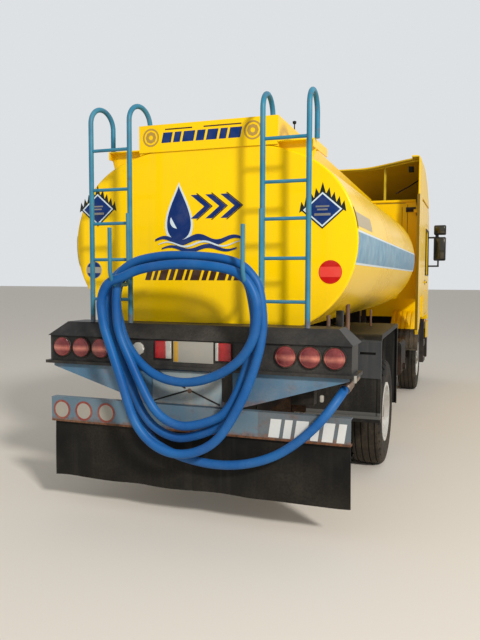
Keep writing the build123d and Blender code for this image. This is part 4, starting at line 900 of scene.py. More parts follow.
tyre = {
    "crown": 0.54, "drop": 0.35, "steps": 96,
    "grooves": (-0.095, -0.035, 0.035, 0.095), "grooveDepth": 0.014, "grooveTop": 0.007, "grooveFloor": 0.004,
    "notch": {"from": 0.506, "to": 0.534, "beyond": 0.12, "every": 3, "rim": 0.003, "depth": 0.009},
    "side": [(0.118, 0.292), (0.134, 0.312), (0.141, 0.33), (0.148, 0.37), (0.15, 0.4), (0.1515, 0.404),
             (0.1515, 0.412), (0.15, 0.416), (0.15, 0.47), (0.143, 0.505), (0.134, 0.522), (0.122, 0.533)],
    "places": {
        "tyre_front_left": ("wheel_front_left", [(-1.02, 3.03, 0.54)]),
        "tyre_front_right": ("wheel_front_right", [(1.02, 3.03, 0.54)]),
        "tyres_rear_left": ("wheels_rear_left", [(-0.728, -1.8, 0.54), (-1.075, -1.8, 0.54)]),
        "tyres_rear_right": ("wheels_rear_right", [(0.728, -1.8, 0.54), (1.075, -1.8, 0.54)])},
}


def addTyres():
    top, floor, notch = tyre["grooveTop"], tyre["grooveFloor"], tyre["notch"]
    outline = [(-along, radius) for along, radius in tyre["side"]]
    for groove in tyre["grooves"]:
        for offset, cut in ((-top, 0), (-floor, 1), (floor, 1), (top, 0)):
            along = groove + offset
            outline.append((along, tyre["crown"] - tyre["drop"] * along ** 2 - cut * tyre["grooveDepth"]))
    outline += list(reversed(tyre["side"])) + [outline[0]]
    model = addRound("tyreModel", (0, 0, 0), (1, 0, 0), outline, tyre["steps"])

    def shoulderNotch(face):
        centre = face.center
        radius = math.hypot(centre.y, centre.z)
        slot = int((math.atan2(centre.z, centre.y) + math.pi) / (2 * math.pi) * tyre["steps"])
        onShoulder = notch["from"] < radius < notch["to"] and abs(centre.x) > notch["beyond"]
        return onShoulder and slot % notch["every"] == 0

    editWith(model, "FACE", shoulderNotch)
    bpy.ops.mesh.inset(thickness=notch["rim"], depth=-notch["depth"], use_boundary=True)
    leaveEdit()
    for node, (body, places) in tyre["places"].items():
        treaded = joinPieces(node + "_treaded",
                             [copyPiece(model, node + "_treaded", place) for place in places])
        fitOut(treaded, "tyreRubber", body, "tyre_rubber")
        smoothByAngle(treaded, 30)
        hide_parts(node)
    bpy.data.objects.remove(model)


addTyres()
print("tyres treaded")


# Wheel nuts and hub caps on the discs

wheelFittings = {
    "axleZ": 0.54, "capFace": 0.009,
    "nut": {"circle": 0.1675, "count": 10, "outline": [
        (0.0, 0.0), (0.0, 0.019), (0.019, 0.019), (0.022, 0.016), (0.022, 0.01), (0.036, 0.01),
        (0.038, 0.007), (0.038, 0.0)]},
    "bolt": {"circle": 0.089, "count": 8, "outline": [
        (0.0, 0.0), (0.0, 0.01), (0.007, 0.01), (0.009, 0.008), (0.009, 0.0)]},
    "cap": [(0.0, 0.0), (0.0, 0.104), (0.006, 0.104), (0.009, 0.1), (0.009, 0.074), (0.022, 0.068),
            (0.03, 0.058), (0.034, 0.03), (0.034, 0.0)],
    "wheels": {  # side, outer faces of the disc and the hub, and the axle's Y
        "wheel_front_left": (-1, 1.088, 1.145, 3.03), "wheel_front_right": (1, 1.088, 1.145, 3.03),
        "wheels_rear_left": (-1, 0.9175, 1.163, -1.8), "wheels_rear_right": (1, 0.9175, 1.163, -1.8)},
}


def addFixings(name, kind, side, x, axleY):  # a ring of nuts or bolts round an axle
    fixing = wheelFittings[kind]
    model = addRound(kind + "Model", (0, 0, 0), (side, 0, 0), fixing["outline"], 6)
    around = ringPoints((axleY, wheelFittings["axleZ"]), fixing["circle"], fixing["count"])
    return addMany(name, model, [(side * x, y, z) for y, z in around])


def addWheelFittings():
    for body, (side, discX, hubX, axleY) in wheelFittings["wheels"].items():
        nuts = addFixings(body + "_nuts", "nut", side, discX, axleY)
        centre = (side * hubX, axleY, wheelFittings["axleZ"])
        cap = addRound(body + "_cap", centre, (side, 0, 0), wheelFittings["cap"])
        bolts = addFixings(body + "_bolts", "bolt", side, hubX + wheelFittings["capFace"], axleY)
        fittings = joinPieces(body + "_fittings", [nuts, cap, bolts])
        fitOut(fittings, "steelWorn", body, "rim_silver")


addWheelFittings()
print("wheel nuts and caps fitted")


# Rear lamps: domed round lenses in black rings, two square lamps, a faceted reflector and a blank plate

rearLamps = {
    "boxY": -4.1, "z": 1.358, "xs": (-1.13, -0.95, -0.77, 0.77, 0.95, 1.13),
    "lens": [(0.0, 0.0), (0.0, 0.077), (0.018, 0.076), (0.024, 0.071), (0.024, 0.061), (0.027, 0.059),
             (0.034, 0.04), (0.037, 0.018), (0.038, 0.0)],
    "ring": [(0.0, 0.07), (0.0, 0.086), (0.01, 0.086), (0.016, 0.081), (0.014, 0.0765), (0.014, 0.07),
             (0.0, 0.07)],
    "reflectorX": -0.43, "reflectorZ": 1.368,
    "reflector": [(0.0, 0.0), (0.0, 0.052), (0.014, 0.052), (0.019, 0.046), (0.022, 0.026), (0.023, 0.0)],
    # outer end, split, inner end
    "squares": [("Left", -0.275, -0.185, -0.138), ("Right", 0.356, 0.254, 0.228)],
    "squareZ": (1.302, 1.438), "squareDepth": 0.028, "squareEdge": 0.006, "backDepth": 0.01,
    "plate": (-0.128, 0.206, 1.276, 1.44), "plateY": (-0.006, -0.001), "plateStrip": 0.043,
    "stripEdge": 0.004, "stripY": (-0.0072, -0.005),
}


def addSquareLamp(label, outer, split, inner):
    y, edge = rearLamps["boxY"], rearLamps["squareEdge"]
    low, high = rearLamps["squareZ"]
    corner = (min(outer, inner) - edge, y - rearLamps["backDepth"], low - edge)
    back = addBlock("squareBack" + label, corner, (max(outer, inner) + edge, y, high + edge))
    fitOut(back, "lampDark", "root", "box_black")
    halves = (("Red", "lensBright", "lamp_red", outer, split),
              ("White", "lensClear", "lamp_clear", split, inner))
    for tint, finish, slot, first, second in halves:
        corner = (min(first, second), y - rearLamps["squareDepth"], low)
        lens = addBlock("square" + tint + label, corner, (max(first, second), y - edge, high), 0.006, 3)
        fitOut(lens, finish, "root", slot)


def addRearLamps():
    y = rearLamps["boxY"]
    places = [(x, y, rearLamps["z"]) for x in rearLamps["xs"]]
    lenses = addMany("rearLenses", addRound("lensModel", (0, 0, 0), (0, -1, 0), rearLamps["lens"]), places)
    fitOut(lenses, "lensRed", "root", "lamp_red")
    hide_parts("rear_lamps")
    rings = addMany("rearLampRings", addRound("ringModel", (0, 0, 0), (0, -1, 0), rearLamps["ring"]), places)
    fitOut(rings, "lampDark", "root", "box_black")
    centre = (rearLamps["reflectorX"], y, rearLamps["reflectorZ"])
    reflector = addRound("rearReflector", centre, (0, -1, 0), rearLamps["reflector"], 10)
    fitOut(reflector, "lensClear", "root", "lamp_clear")
    for label, outer, split, inner in rearLamps["squares"]:
        addSquareLamp(label, outer, split, inner)


def addRearPlate():
    y, edge = rearLamps["boxY"], rearLamps["stripEdge"]
    left, right, low, high = rearLamps["plate"]
    front, back = rearLamps["plateY"]
    plate = addBlock("blankPlate", (left, y + front, low), (right, y + back, high), 0.002)
    fitOut(plate, "signWhite", "root", "lamp_clear")
    front, back = rearLamps["stripY"]
    corner = (left + edge, y + front, low + edge)
    yellow = addBlock("blankPlateStrip", corner, (left + rearLamps["plateStrip"], y + back, high - edge),
                      0.0008)
    fitOut(yellow, "plateYellow", "root", "cab_yellow")


addRearLamps()
addRearPlate()
print("rear lamps and plate fitted")


# Mud flap: one wide rubber sheet with slow waves and an uneven lower edge

flap = {"left": -1.23, "right": 1.246, "top": 0.731, "bottom": 0.266, "y": -4.068, "lean": 0.012,
        "thickness": 0.01, "flat": (2.476, 0.468)}


def flapPoint(u, v):  # u from left to right, v from the lower edge up
    x = flap["left"] + (flap["right"] - flap["left"]) * u
    fall = 1 - v
    edge = 0.006 * math.sin(4.3 * x + 0.6) + 0.004 * math.sin(9.7 * x)
    z = flap["bottom"] + (flap["top"] - flap["bottom"]) * v + edge * fall
    wave = 0.01 * math.sin(3.1 * x + 0.9) + 0.006 * math.sin(7.4 * x + 2.0) + 0.003 * math.sin(17.0 * x)
    curl = 0.03 * max(0.0, (-x - 0.95) / 0.28) ** 2
    y = flap["y"] + flap["lean"] * fall * fall - fall * (wave + curl)
    return (x, y, z)


def addFlap():
    sheet = addSkin("mudFlapSheet", 96, 14, flapPoint, flap["thickness"])
    fitOut(sheet, "rubberFlap", "root", "rubber_black")
    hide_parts("mud_flap")


addFlap()
print("mud flap hung")


# Blank signs and worn slanted blocks on the underrun bar

barSigns = {
    "y": -4.1, "z": 0.833, "xs": (-1.15, -0.94, -0.73),
    "disc": [(0.0, 0.0), (0.0, 0.066), (0.002, 0.066), (0.002, 0.0)],
    "rim": [(0.0, 0.064), (0.0, 0.08), (0.003, 0.08), (0.003, 0.064), (0.0, 0.064)],
    "blocks": [(0.64, 0.082), (0.75, 0.058), (0.836, 0.092), (0.956, 0.056), (1.04, 0.08), (1.148, 0.056)],
    "blockZ": (0.755, 0.893), "slant": 0.02, "thickness": 0.0012,
}


def addBarSigns():
    places = [(x, barSigns["y"], barSigns["z"]) for x in barSigns["xs"]]
    discs = addMany("barSignDiscs", addRound("signDisc", (0, 0, 0), (0, -1, 0), barSigns["disc"]), places)
    fitOut(discs, "signWhite", "root", "bar_grey")
    rims = addMany("barSignRims", addRound("signRim", (0, 0, 0), (0, -1, 0), barSigns["rim"]), places)
    fitOut(rims, "signRed", "root", "lamp_red")
    loops = [slantedLoop(x, width, *barSigns["blockZ"], barSigns["slant"]) for x, width in barSigns["blocks"]]
    blocks = addShape("barBlocks", loops, barSigns["thickness"], barSigns["y"] - barSigns["thickness"] / 2)
    fitOut(blocks, "blockWhite", "root", "bar_grey")


addBarSigns()
print("bar signs fitted")


# Centre panel on the gusset, with dark strips along its crossed folds as painted shade in the creases, and a
# dark plate beside it as painted shade of the gap and the hose's shadow

centrePanel = {
    "low": (-0.315, 0.948), "high": (0.267, 1.208), "y": (-4.0905, -4.083),
    "slot": (0.27, 0.35), "slotY": -4.0855, "slotLow": 0.985,
    "folds": [((-0.3, 0.965), (0.0, 1.064)), ((0.0, 1.064), (0.255, 0.962)),
              ((-0.262, 1.196), (-0.03, 1.075))],
    "foldWidth": 0.012, "foldDepth": 0.003, "foldLift": 0.001,
    "stain": (0.004, 1.058), "stainRadius": 0.019, "stainDepth": 0.001, "stainLift": 0.0024,
}


def stripLoop(start, end, width):  # a straight strip between two points
    (x0, z0), (x1, z1) = start, end
    run = math.hypot(x1 - x0, z1 - z0)
    x, z = -(z1 - z0) / run * width / 2, (x1 - x0) / run * width / 2
    return [(x0 - x, z0 - z), (x1 - x, z1 - z), (x1 + x, z1 + z), (x0 + x, z0 + z)]


def addCentrePanel():
    (left, low), (right, high), (front, back) = centrePanel["low"], centrePanel["high"], centrePanel["y"]
    panel = addBlock("centrePanel", (left, front, low), (right, back, high))
    fitOut(panel, "panelPale", "root", "plate_blue_grey")
    # a dark plate just proud of the gusset: painted shade of the gap beside the panel and of the hose's
    # shadow
    first, last = centrePanel["slot"]
    corner = (first, centrePanel["slotY"], centrePanel["slotLow"])
    slot = addBlock("panelSlotShade", corner, (last, back, high), 0.001)
    fitOut(slot, "lampDark", "root", "plate_blue_grey")
    # dark strips along the folds: painted shade in the creases
    for number, (start, end) in enumerate(centrePanel["folds"]):
        loop = stripLoop(start, end, centrePanel["foldWidth"])
        fold = addShape("panelFoldShade" + str(number), [loop], centrePanel["foldDepth"],
                        front - centrePanel["foldLift"])
        fitOut(fold, "guardDark", "root", "plate_blue_grey")
    loop = ringPoints(centrePanel["stain"], centrePanel["stainRadius"], 9)
    stain = addShape("panelStain", [loop], centrePanel["stainDepth"], front - centrePanel["stainLift"])
    fitOut(stain, "rustBrown", "root", "plate_blue_grey")


addCentrePanel()
print("centre panel fitted")


# Decals on the tank's rear face: an emblem of drop, chevrons and waves, a slanted band, diamonds and discs

tankRear = {"y": -3.743, "layer": 0.0012}
emblem = {
    "drops": [  # name, centre, width, height, finish, layer
        ("emblemDropEdge", (-0.245, 2.455), 0.27, 0.5, "decalPale", 0),
        ("emblemDrop", (-0.245, 2.452), 0.23, 0.44, "decalBlue", 1)],
    "gleam": ((-0.262, 2.39), 0.062, 150, 270),
    "chevronCount": 3, "chevronPitch": 0.13,
    "chevrons": [  # name, first tip, size, width, finish, layer
        ("emblemChevrons", (0.3, 2.5), 0.12, 0.06, "decalBlue", 0),
        ("emblemChevronLines", (0.315, 2.5), 0.135, 0.012, "decalBrown", 1)],
    "waves": [  # name, finish, layer, and left, right, middle, rise, width and turns of each wave
        ("emblemWaves", "decalBlue", 3,
         [(-0.46, 0.32, 2.235, 0.022, 0.05, 2.5), (-0.4, 0.26, 2.165, 0.018, 0.035, 2.0)]),
        ("emblemWaveLine", "decalPale", 4, [(-0.43, 0.29, 2.2, 0.02, 0.016, 2.2)])],
}
tankBand = {"left": -0.56, "widths": (0.05, 0.03, 0.07, 0.04, 0.06, 0.03, 0.08, 0.04, 0.05, 0.07, 0.03, 0.05),
            "gap": 0.022, "low": 1.905, "high": 1.995, "slant": 0.03}
diamonds = {
    "centres": {"Right": (0.95, 2.444), "Left": (-1.009, 2.508)},
    "flames": (0.162, 0.142), "flameWays": (0.27, 0.51, 0.75, 0.97),
    "rings": [("diamondEdge", 0.168, 0.146, "decalInk"), ("diamondBorder", 0.151, 0.131, "decalPale"),
              ("diamondCentre", 0.134, 0.116, "decalBlue")],
    "bars": [(0.062, -0.046, -0.028), (0.04, -0.006, 0.006), (0.052, 0.018, 0.03)],  # half width, low, high
}
discs = {"red": (1.015, 1.972), "redRadius": 0.09, "bandRadius": 0.086,
         "bandDegrees": (-26, -12, 4, 18, 28, 152, 162, 176, 192, 206),
         "pale": (-1.055, 1.99), "paleRadius": 0.076, "capRadius": 0.07, "caps": [(22, 158), (202, 338)]}


def addDecal(name, loops, finish, layer):
    piece = addShape(name, loops, tankRear["layer"], tankRear["y"] - tankRear["layer"] * (layer + 0.5))
    return fitOut(piece, finish, "root", "tank_yellow")


def dropLoop(centre, width, height, count=40):
    loop = []
    for step in range(count):
        turn = 2 * math.pi * step / count
        across = width * 0.65 * math.sin(turn) * math.sin(turn / 2) ** 1.4
        loop.append((centre[0] + across, centre[1] + height / 2 * math.cos(turn)))
    return loop


def waveLoop(left, right, middle, rise, width, turns, count=36):
    upper = []
    lower = []
    for step in range(count + 1):
        x = left + (right - left) * step / count
        z = middle + rise * math.sin(2 * math.pi * turns * step / count)
        thin = width * (0.35 + 0.65 * math.sin(math.pi * step / count))
        upper.append((x, z + thin / 2))
        lower.append((x, z - thin / 2))
    return upper + lower[::-1]


def chevronLoop(tip, size, width):
    x, z = tip
    rise = size * 0.8
    return [(x, z), (x - size, z + rise), (x - size - width, z + rise), (x - width, z),
            (x - size - width, z - rise), (x - size, z - rise)]


def capLoop(centre, radius, startDegrees, endDegrees, count=20):  # a round cap closed by a straight chord
    start, end = math.radians(startDegrees), math.radians(endDegrees)
    return arcPoints(centre, radius, [start + (end - start) * step / count for step in range(count + 1)])


def diamondLoop(centre, halfX, halfZ):
    x, z = centre
    return [(x, z - halfZ), (x + halfX, z), (x, z + halfZ), (x - halfX, z)]


def flameLoops(centre, halfX, halfZ):  # tongues standing on the upper two edges, one on the top corner
    x, z = centre
    loops = [[(x + 0.022, z + halfZ - 0.012), (x, z + halfZ + 0.064), (x - 0.022, z + halfZ - 0.012)]]
    for side in (-1, 1):
        for way in diamonds["flameWays"]:
            across, height = side * halfX * way, halfZ * (1 - way)
            tongue = [(x + across + side * 0.024, z + height - 0.024),
                      (x + across + side * 0.008, z + height + 0.06),
                      (x + across - side * 0.022, z + height + 0.006)]
            loops.append(tongue if side > 0 else tongue[::-1])
    return loops


def addEmblem():
    for name, centre, width, height, finish, layer in emblem["drops"]:
        addDecal(name, [dropLoop(centre, width, height)], finish, layer)
    addDecal("emblemGleam", [capLoop(*emblem["gleam"])], "decalPale", 2)
    for name, (x, z), size, width, finish, layer in emblem["chevrons"]:
        tips = [(x - emblem["chevronPitch"] * step, z) for step in range(emblem["chevronCount"])]
        addDecal(name, [chevronLoop(tip, size, width) for tip in tips], finish, layer)
    for name, finish, layer, waves in emblem["waves"]:
        addDecal(name, [waveLoop(*wave) for wave in waves], finish, layer)


def addDiamond(label, centre):
    addDecal("diamondFlames" + label, flameLoops(centre, *diamonds["flames"]), "decalInk", 0)
    for number, (name, halfX, halfZ, finish) in enumerate(diamonds["rings"]):
        addDecal(name + label, [diamondLoop(centre, halfX, halfZ)], finish, number + 1)
    x, z = centre
    bars = [slantedLoop(x - half, 2 * half, z + low, z + high) for half, low, high in diamonds["bars"]]
    addDecal("diamondBars" + label, bars, "steelWorn", 4)


def addDiscs():
    addDecal("redDisc", [ringPoints(discs["red"], discs["redRadius"], 40)], "brightRed", 0)
    band = arcPoints(discs["red"], discs["bandRadius"],
                     [math.radians(angle) for angle in discs["bandDegrees"]])
    addDecal("redDiscBand", [band], "paleRed", 1)
    addDecal("paleDisc", [ringPoints(discs["pale"], discs["paleRadius"], 40)], "signWhite", 0)
    caps = [capLoop(discs["pale"], discs["capRadius"], start, end) for start, end in discs["caps"]]
    addDecal("paleDiscCaps", caps, "decalBlue", 1)


addEmblem()
addDecal("slantedBand", slantedRow(**tankBand), "decalBrown", 0)
for label, centre in diamonds["centres"].items():
    addDiamond(label, centre)
addDiscs()
print("tank rear decals laid")


# Banners along both flanks, following the sides' curve, a small panel, and the tank's edge seam

flank = {"centreX": 0.506, "centreZ": 2.21, "radius": 0.72}
flankBands = [  # name, side, low and high edge, rear and front end, lift, finish
    ("bannerEdgeLeft", -1, 2.028, 2.288, -3.736, 1.284, 0.0006, "decalPale"),
    ("bannerLeft", -1, 2.044, 2.272, -3.736, 1.284, 0.0018, "bannerBlue"),
    ("bannerEdgeRight", 1, 2.028, 2.288, -3.736, 1.284, 0.0006, "decalPale"),
    ("bannerRight", 1, 2.044, 2.272, -3.736, 1.284, 0.0018, "bannerBlue"),
    ("flankPanel", 1, 2.318, 2.428, -3.726, -2.986, 0.0006, "decalSand"),
    ("edgeSeam", 1, 2.3, 2.46, -3.7425, -3.73, 0.0012, "decalBrown"),
]


def addFlankBand(name, side, low, high, rear, front, lift, finish):  # a strip between two heights on a flank
    first = math.asin((low - flank["centreZ"]) / flank["radius"])
    last = math.asin((high - flank["centreZ"]) / flank["radius"])
    radius = flank["radius"] + lift

    def place(u, v):
        angle = first + (last - first) * v
        across = flank["centreX"] + radius * math.cos(angle)
        y = rear + (front - rear) * (u if side > 0 else 1 - u)
        return (side * across, y, flank["centreZ"] + radius * math.sin(angle))

    band = addSkin(name, 12, 6, place, 0.0012)
    return fitOut(band, finish, "root", "tank_yellow")


for row in flankBands:
    addFlankBand(*row)
print("banners laid")


# Plates and blocks, and bars and wires, listed once

plainBlocks = [  # name, low corner, high corner, bevel, finish, body, slot
    ("roofGutter", (-1.18, 2.128, 3.15), (1.18, 2.149, 3.186), 0.006, "cabYellow", "cab", "cab_yellow"),
    # thin dark strips on the cab's rear wall: painted shade in its grooves
    ("wallGrooveShadeTop", (0.529, 2.1465, 3.131), (1.005, 2.1495, 3.139), 0.001, "lampDark", "cab",
     "plastic_black"),
    ("wallGrooveShadeInner", (0.944, 2.1465, 2.674), (0.951, 2.1495, 3.074), 0.001, "decalBrown", "cab",
     "plastic_black"),
    ("wallGrooveShadeOuter", (1.029, 2.1465, 2.545), (1.036, 2.1495, 3.11), 0.001, "decalBrown", "cab",
     "plastic_black"),
    ("wallHandlePad", (1.007, 2.134, 2.99), (1.16, 2.149, 3.066), 0.006, "plasticBlack", "cab",
     "plastic_black"),
    ("wallHandleGrip", (1.02, 2.112, 3.016), (1.148, 2.128, 3.042), 0.007, "plasticBlack", "cab",
     "plastic_black"),
    ("deflectorBox", (1.05, 2.0, 3.6), (1.13, 2.06, 3.69), 0.006, "guardDark", "cab", "plastic_black"),
    ("sunVisor", (-1.02, 4.205, 2.872), (1.02, 4.33, 2.892), 0.008, "plasticBlack", "cab", "plastic_black"),
    ("flangeBracket", (1.27, -4.132, 1.196), (1.288, -4.112, 1.246), 0.003, "signWhite", "root", "box_black"),
    ("tankPost", (0.98, -3.33, 1.406), (1.036, -3.27, 1.66), 0.004, "lampDark", "root", "chassis_dark"),
    ("whiteFitting", (1.026, -4.118, 1.04), (1.054, -4.086, 1.092), 0.01, "signWhite", "root",
     "fitting_steel"),
    ("valveBox", (0.77, -3.96, 0.98), (0.95, -3.86, 1.225), 0.01, "chassisDark", "root", "chassis_dark"),
    ("radiatorTank", (-0.62, 3.87, 1.038), (0.62, 3.95, 1.205), 0.02, "chassisDark", "root", "chassis_dark"),
]
sideBlocks = [  # name, low and high corner on the right, bevel, finish, slot
    ("stepLamp{}", (1.248, 3.3, 1.16), (1.258, 3.4, 1.2), 0.003, "lensAmber", "cab", "lamp_clear"),
    ("turnLamp{}", (1.122, 4.385, 0.85), (1.1535, 4.418, 1.01), 0.004, "lensAmber", "root", "lamp_clear"),
    ("handleRecess{}", (1.2455, 3.235, 1.82), (1.2475, 3.43, 1.905), 0.0008, "plasticBlack", "door",
     "plastic_black"),
    ("handleLever{}", (1.269, 3.262, 1.846), (1.277, 3.398, 1.874), 0.003, "plasticBlack", "door",
     "plastic_black"),
    ("doorRib{}", (1.2455, 3.26, 1.7), (1.252, 4.17, 1.722), 0.003, "cabYellow", "door", "cab_yellow"),
    ("mirrorPane{}0", (1.372, 4.0325, 2.295), (1.532, 4.0365, 2.668), 0.002, "mirrorGlass", "door", "glass"),
    ("mirrorPane{}1", (1.372, 4.0325, 2.77), (1.532, 4.0365, 2.896), 0.002, "mirrorGlass", "door", "glass"),
]
plainTubes = [  # name, points, radius, finish, body, slot
    # a dark wavy tube down the corner of the cab's rear wall, behind the fin
    ("cornerDarkTube", [(1.19, 2.13, 3.25), (1.172, 2.12, 3.16), (1.192, 2.124, 3.06), (1.18, 2.13, 2.93)],
     0.011, "plasticBlack", "cab", "plastic_black"),
    ("rustyPipeRear", [(0.992, -3.68, 1.408), (0.992, -3.68, 1.64)], 0.015, "rustBrown", "root",
     "chassis_dark"),
    ("rustyPipeMiddle", [(1.015, -2.98, 1.408), (1.015, -2.98, 1.7)], 0.019, "rustBrown", "root",
     "chassis_dark"),
    ("thinPipe", [(1.0, -1.5, 1.408), (1.0, -1.5, 1.585)], 0.012, "rustBrown", "root", "chassis_dark"),
    ("coamingPin", [(0.58, -3.2, 3.15), (0.58, -3.2, 3.235)], 0.005, "guardDark", "root", "guard_grey"),
    ("lidHandle", [(-0.09, -1.36, 3.138), (-0.09, -1.36, 3.17), (0.09, -1.36, 3.17), (0.09, -1.36, 3.138)],
     0.008, "steelWorn", "manhole_lid", "fitting_steel"),
]
sideTubes = [  # name, points on the right, radius, closed or not, finish, body, slot
    # painted shade: the deflector's braces are painted near black, as they sit in its shade
    ("shadedDeflectorBrace{}", [(0.84, 2.16, 3.29), (1.05, 2.18, 3.4), (1.23, 2.2, 3.52)], 0.01, False,
     "guardDark", "cab", "cab_yellow"),
    ("windowSeal{}", [(1.246, 3.33, 1.985), (1.246, 3.33, 2.8), (1.246, 4.03, 2.8), (1.246, 4.125, 2.06),
                      (1.246, 4.125, 1.985)], 0.01, True, "plasticBlack", "door", "plastic_black"),
]
pinKnob = {"place": (0.58, -3.2, 3.228),
           "outline": [(0.0, 0.0), (0.0, 0.012), (0.01, 0.017), (0.022, 0.016), (0.028, 0.0)]}


def addPlainPieces():
    for name, low, high, bevel, finish, body, slot in plainBlocks:
        fitOut(addBlock(name, low, high, bevel), finish, body, slot)
    for name, points, radius, finish, body, slot in plainTubes:
        fitOut(addTube(name, points, radius), finish, body, slot)
    knob = addRound("coamingKnob", pinKnob["place"], (0, 0, 1), pinKnob["outline"], 12)
    fitOut(knob, "lampDark", "root", "guard_grey")


def addSidePieces(side, label):  # what rides on a door is listed with the body "door"
    bodies = {"door": "door_" + label.lower(), "cab": "cab", "root": "root"}
    for name, low, high, bevel, finish, body, slot in sideBlocks:
        piece = addSideBlock(name.format(label), side, low, high, bevel)
        fitOut(piece, finish, bodies[body], slot)
    for name, points, radius, closed, finish, body, slot in sideTubes:
        piece = addTube(name.format(label), [(side * x, y, z) for x, y, z in points], radius, closed)
        fitOut(piece, finish, bodies[body], slot)


addPlainPieces()
for side, label in sides:
    addSidePieces(side, label)
print("blocks and bars placed")


# Walkway: slanted blocks on the coaming's rear plate, anti-slip strips on the tank's top

coamingArt = {
    "y": -3.755, "thickness": 0.0012,
    "blocks": {"left": -0.395, "widths": (0.085, 0.06, 0.1, 0.07, 0.09, 0.06, 0.1), "gap": 0.02, "low": 3.026,
               "high": 3.108, "slant": 0.018},
    "bars": [(-0.36, 0.24), (-0.02, 0.32)], "barZ": (3.128, 3.138),  # left end and width
    "ringXs": (-0.49, 0.395), "ringZ": 3.075, "rings": [(0.074, 32), (0.06, 32), (0.048, 8), (0.02, 8)],
}
treadStrips = {"low": (-0.42, -0.02, -0.006), "high": (0.42, 0.02, 0.004), "z": 3.0195, "firstY": -3.55,
               "pitch": 0.29, "count": 16, "manholeY": -1.25, "manholeReach": 0.36}


def addCoamingArt():
    xs, z = coamingArt["ringXs"], coamingArt["ringZ"]
    rings = [ringPoints((x, z), radius, count) for x in xs for radius, count in coamingArt["rings"]]
    bars = [slantedLoop(left, width, *coamingArt["barZ"]) for left, width in coamingArt["bars"]]
    blocks = slantedRow(**coamingArt["blocks"])
    depth = coamingArt["thickness"]
    for name, loops, finish in (("coamingBlocks", blocks, "decalBlue"), ("coamingBars", bars, "decalBrown"),
                                ("coamingRings", rings, "bronze")):
        piece = addShape(name, loops, depth, coamingArt["y"] - depth / 2)
        fitOut(piece, finish, "root", "tank_yellow")


def addTreadStrips():
    strip = addBlock("stripModel", treadStrips["low"], treadStrips["high"])
    ys = [treadStrips["firstY"] + treadStrips["pitch"] * step for step in range(treadStrips["count"])]
    clear = [y for y in ys if abs(y - treadStrips["manholeY"]) > treadStrips["manholeReach"]]
    strips = addMany("treadStrips", strip, [(0, y, treadStrips["z"]) for y in clear])
    fitOut(strips, "guardDark", "root", "guard_grey")


addCoamingArt()
addTreadStrips()
print("walkway dressed")


# Windscreen: seal and wipers

screenTrim = {
    "footY": 4.345, "footZ": 1.96, "rake": (4.2 - 4.34) / (2.86 - 1.96),
    "seal": [(-1.075, 1.985), (1.075, 1.985), (1.075, 2.835), (-1.075, 2.835)],
    "wipers": {"Left": -0.55, "Right": 0.3},
    "arm": [(0.0, 1.955, 0.012), (0.05, 2.1, 0.02), (0.28, 2.34, 0.018)],  # along, height, lift off the glass
    "blade": [(0.02, 2.2, 0.016), (0.54, 2.48, 0.016)],
}


def onScreen(x, z, lift=0.0):
    return (x, screenTrim["footY"] + screenTrim["rake"] * (z - screenTrim["footZ"]) + lift, z)


def addScreenTrim():
    seal = addTube("screenSeal", [onScreen(x, z) for x, z in screenTrim["seal"]], 0.013, True)
    fitOut(seal, "plasticBlack", "cab", "plastic_black")
    for label, x in screenTrim["wipers"].items():
        arm = [onScreen(x + along, z, lift) for along, z, lift in screenTrim["arm"]]
        blade = [onScreen(x + along, z, lift) for along, z, lift in screenTrim["blade"]]
        pieces = [addTube("wiperArm", arm, 0.007), addTube("wiperBlade", blade, 0.006)]
        fitOut(joinPieces("wiper" + label, pieces), "plasticBlack", "cab", "plastic_black")


addScreenTrim()
print("windscreen trimmed")


# Grille: dark backs and a mesh of bars in the service panel's slots; lamps in the bumper; step treads

grille = {
    "slots": 4, "lowest": 1.255, "pitch": 0.14, "backLow": (-0.779, 4.3698, -0.0445),
    "backHigh": (0.779, 4.3712, 0.0445),
    "rodLow": (-0.0022, -0.003, -0.0445), "rodHigh": (0.0022, 0.003, 0.0445), "rodY": 4.378,
    "rodPitch": 0.0306, "rods": 51, "firstRod": -0.765,
    "wireLow": (-0.779, -0.003, -0.002), "wireHigh": (0.779, 0.003, 0.002), "wireY": 4.382,
    "wireLifts": (-0.022, 0.0, 0.022),
}
frontLamps = {
    "xs": (0.865, 1.03), "y": 4.4255, "z": 0.935, "tilt": (0.0, 0.98, 0.199), "fogPlace": (0.62, 4.447, 0.6),
    "bowl": [(-0.004, 0.05), (-0.004, 0.074), (0.008, 0.074), (0.008, 0.066), (0.002, 0.05), (-0.004, 0.05)],
    "lens": [(-0.004, 0.0), (-0.004, 0.06), (0.003, 0.06), (0.008, 0.034), (0.01, 0.0)],
    "fog": [(-0.01, 0.0), (-0.01, 0.062), (0.004, 0.062), (0.006, 0.054), (0.002, 0.05), (0.006, 0.02),
            (0.007, 0.0)],
}
stepRibs = {"low": (-0.055, -0.008, 0.0), "high": (0.055, 0.008, 0.006), "x": 1.155, "firstY": 3.77,
            "pitch": 0.055, "count": 7, "heights": (0.4445, 0.7645)}


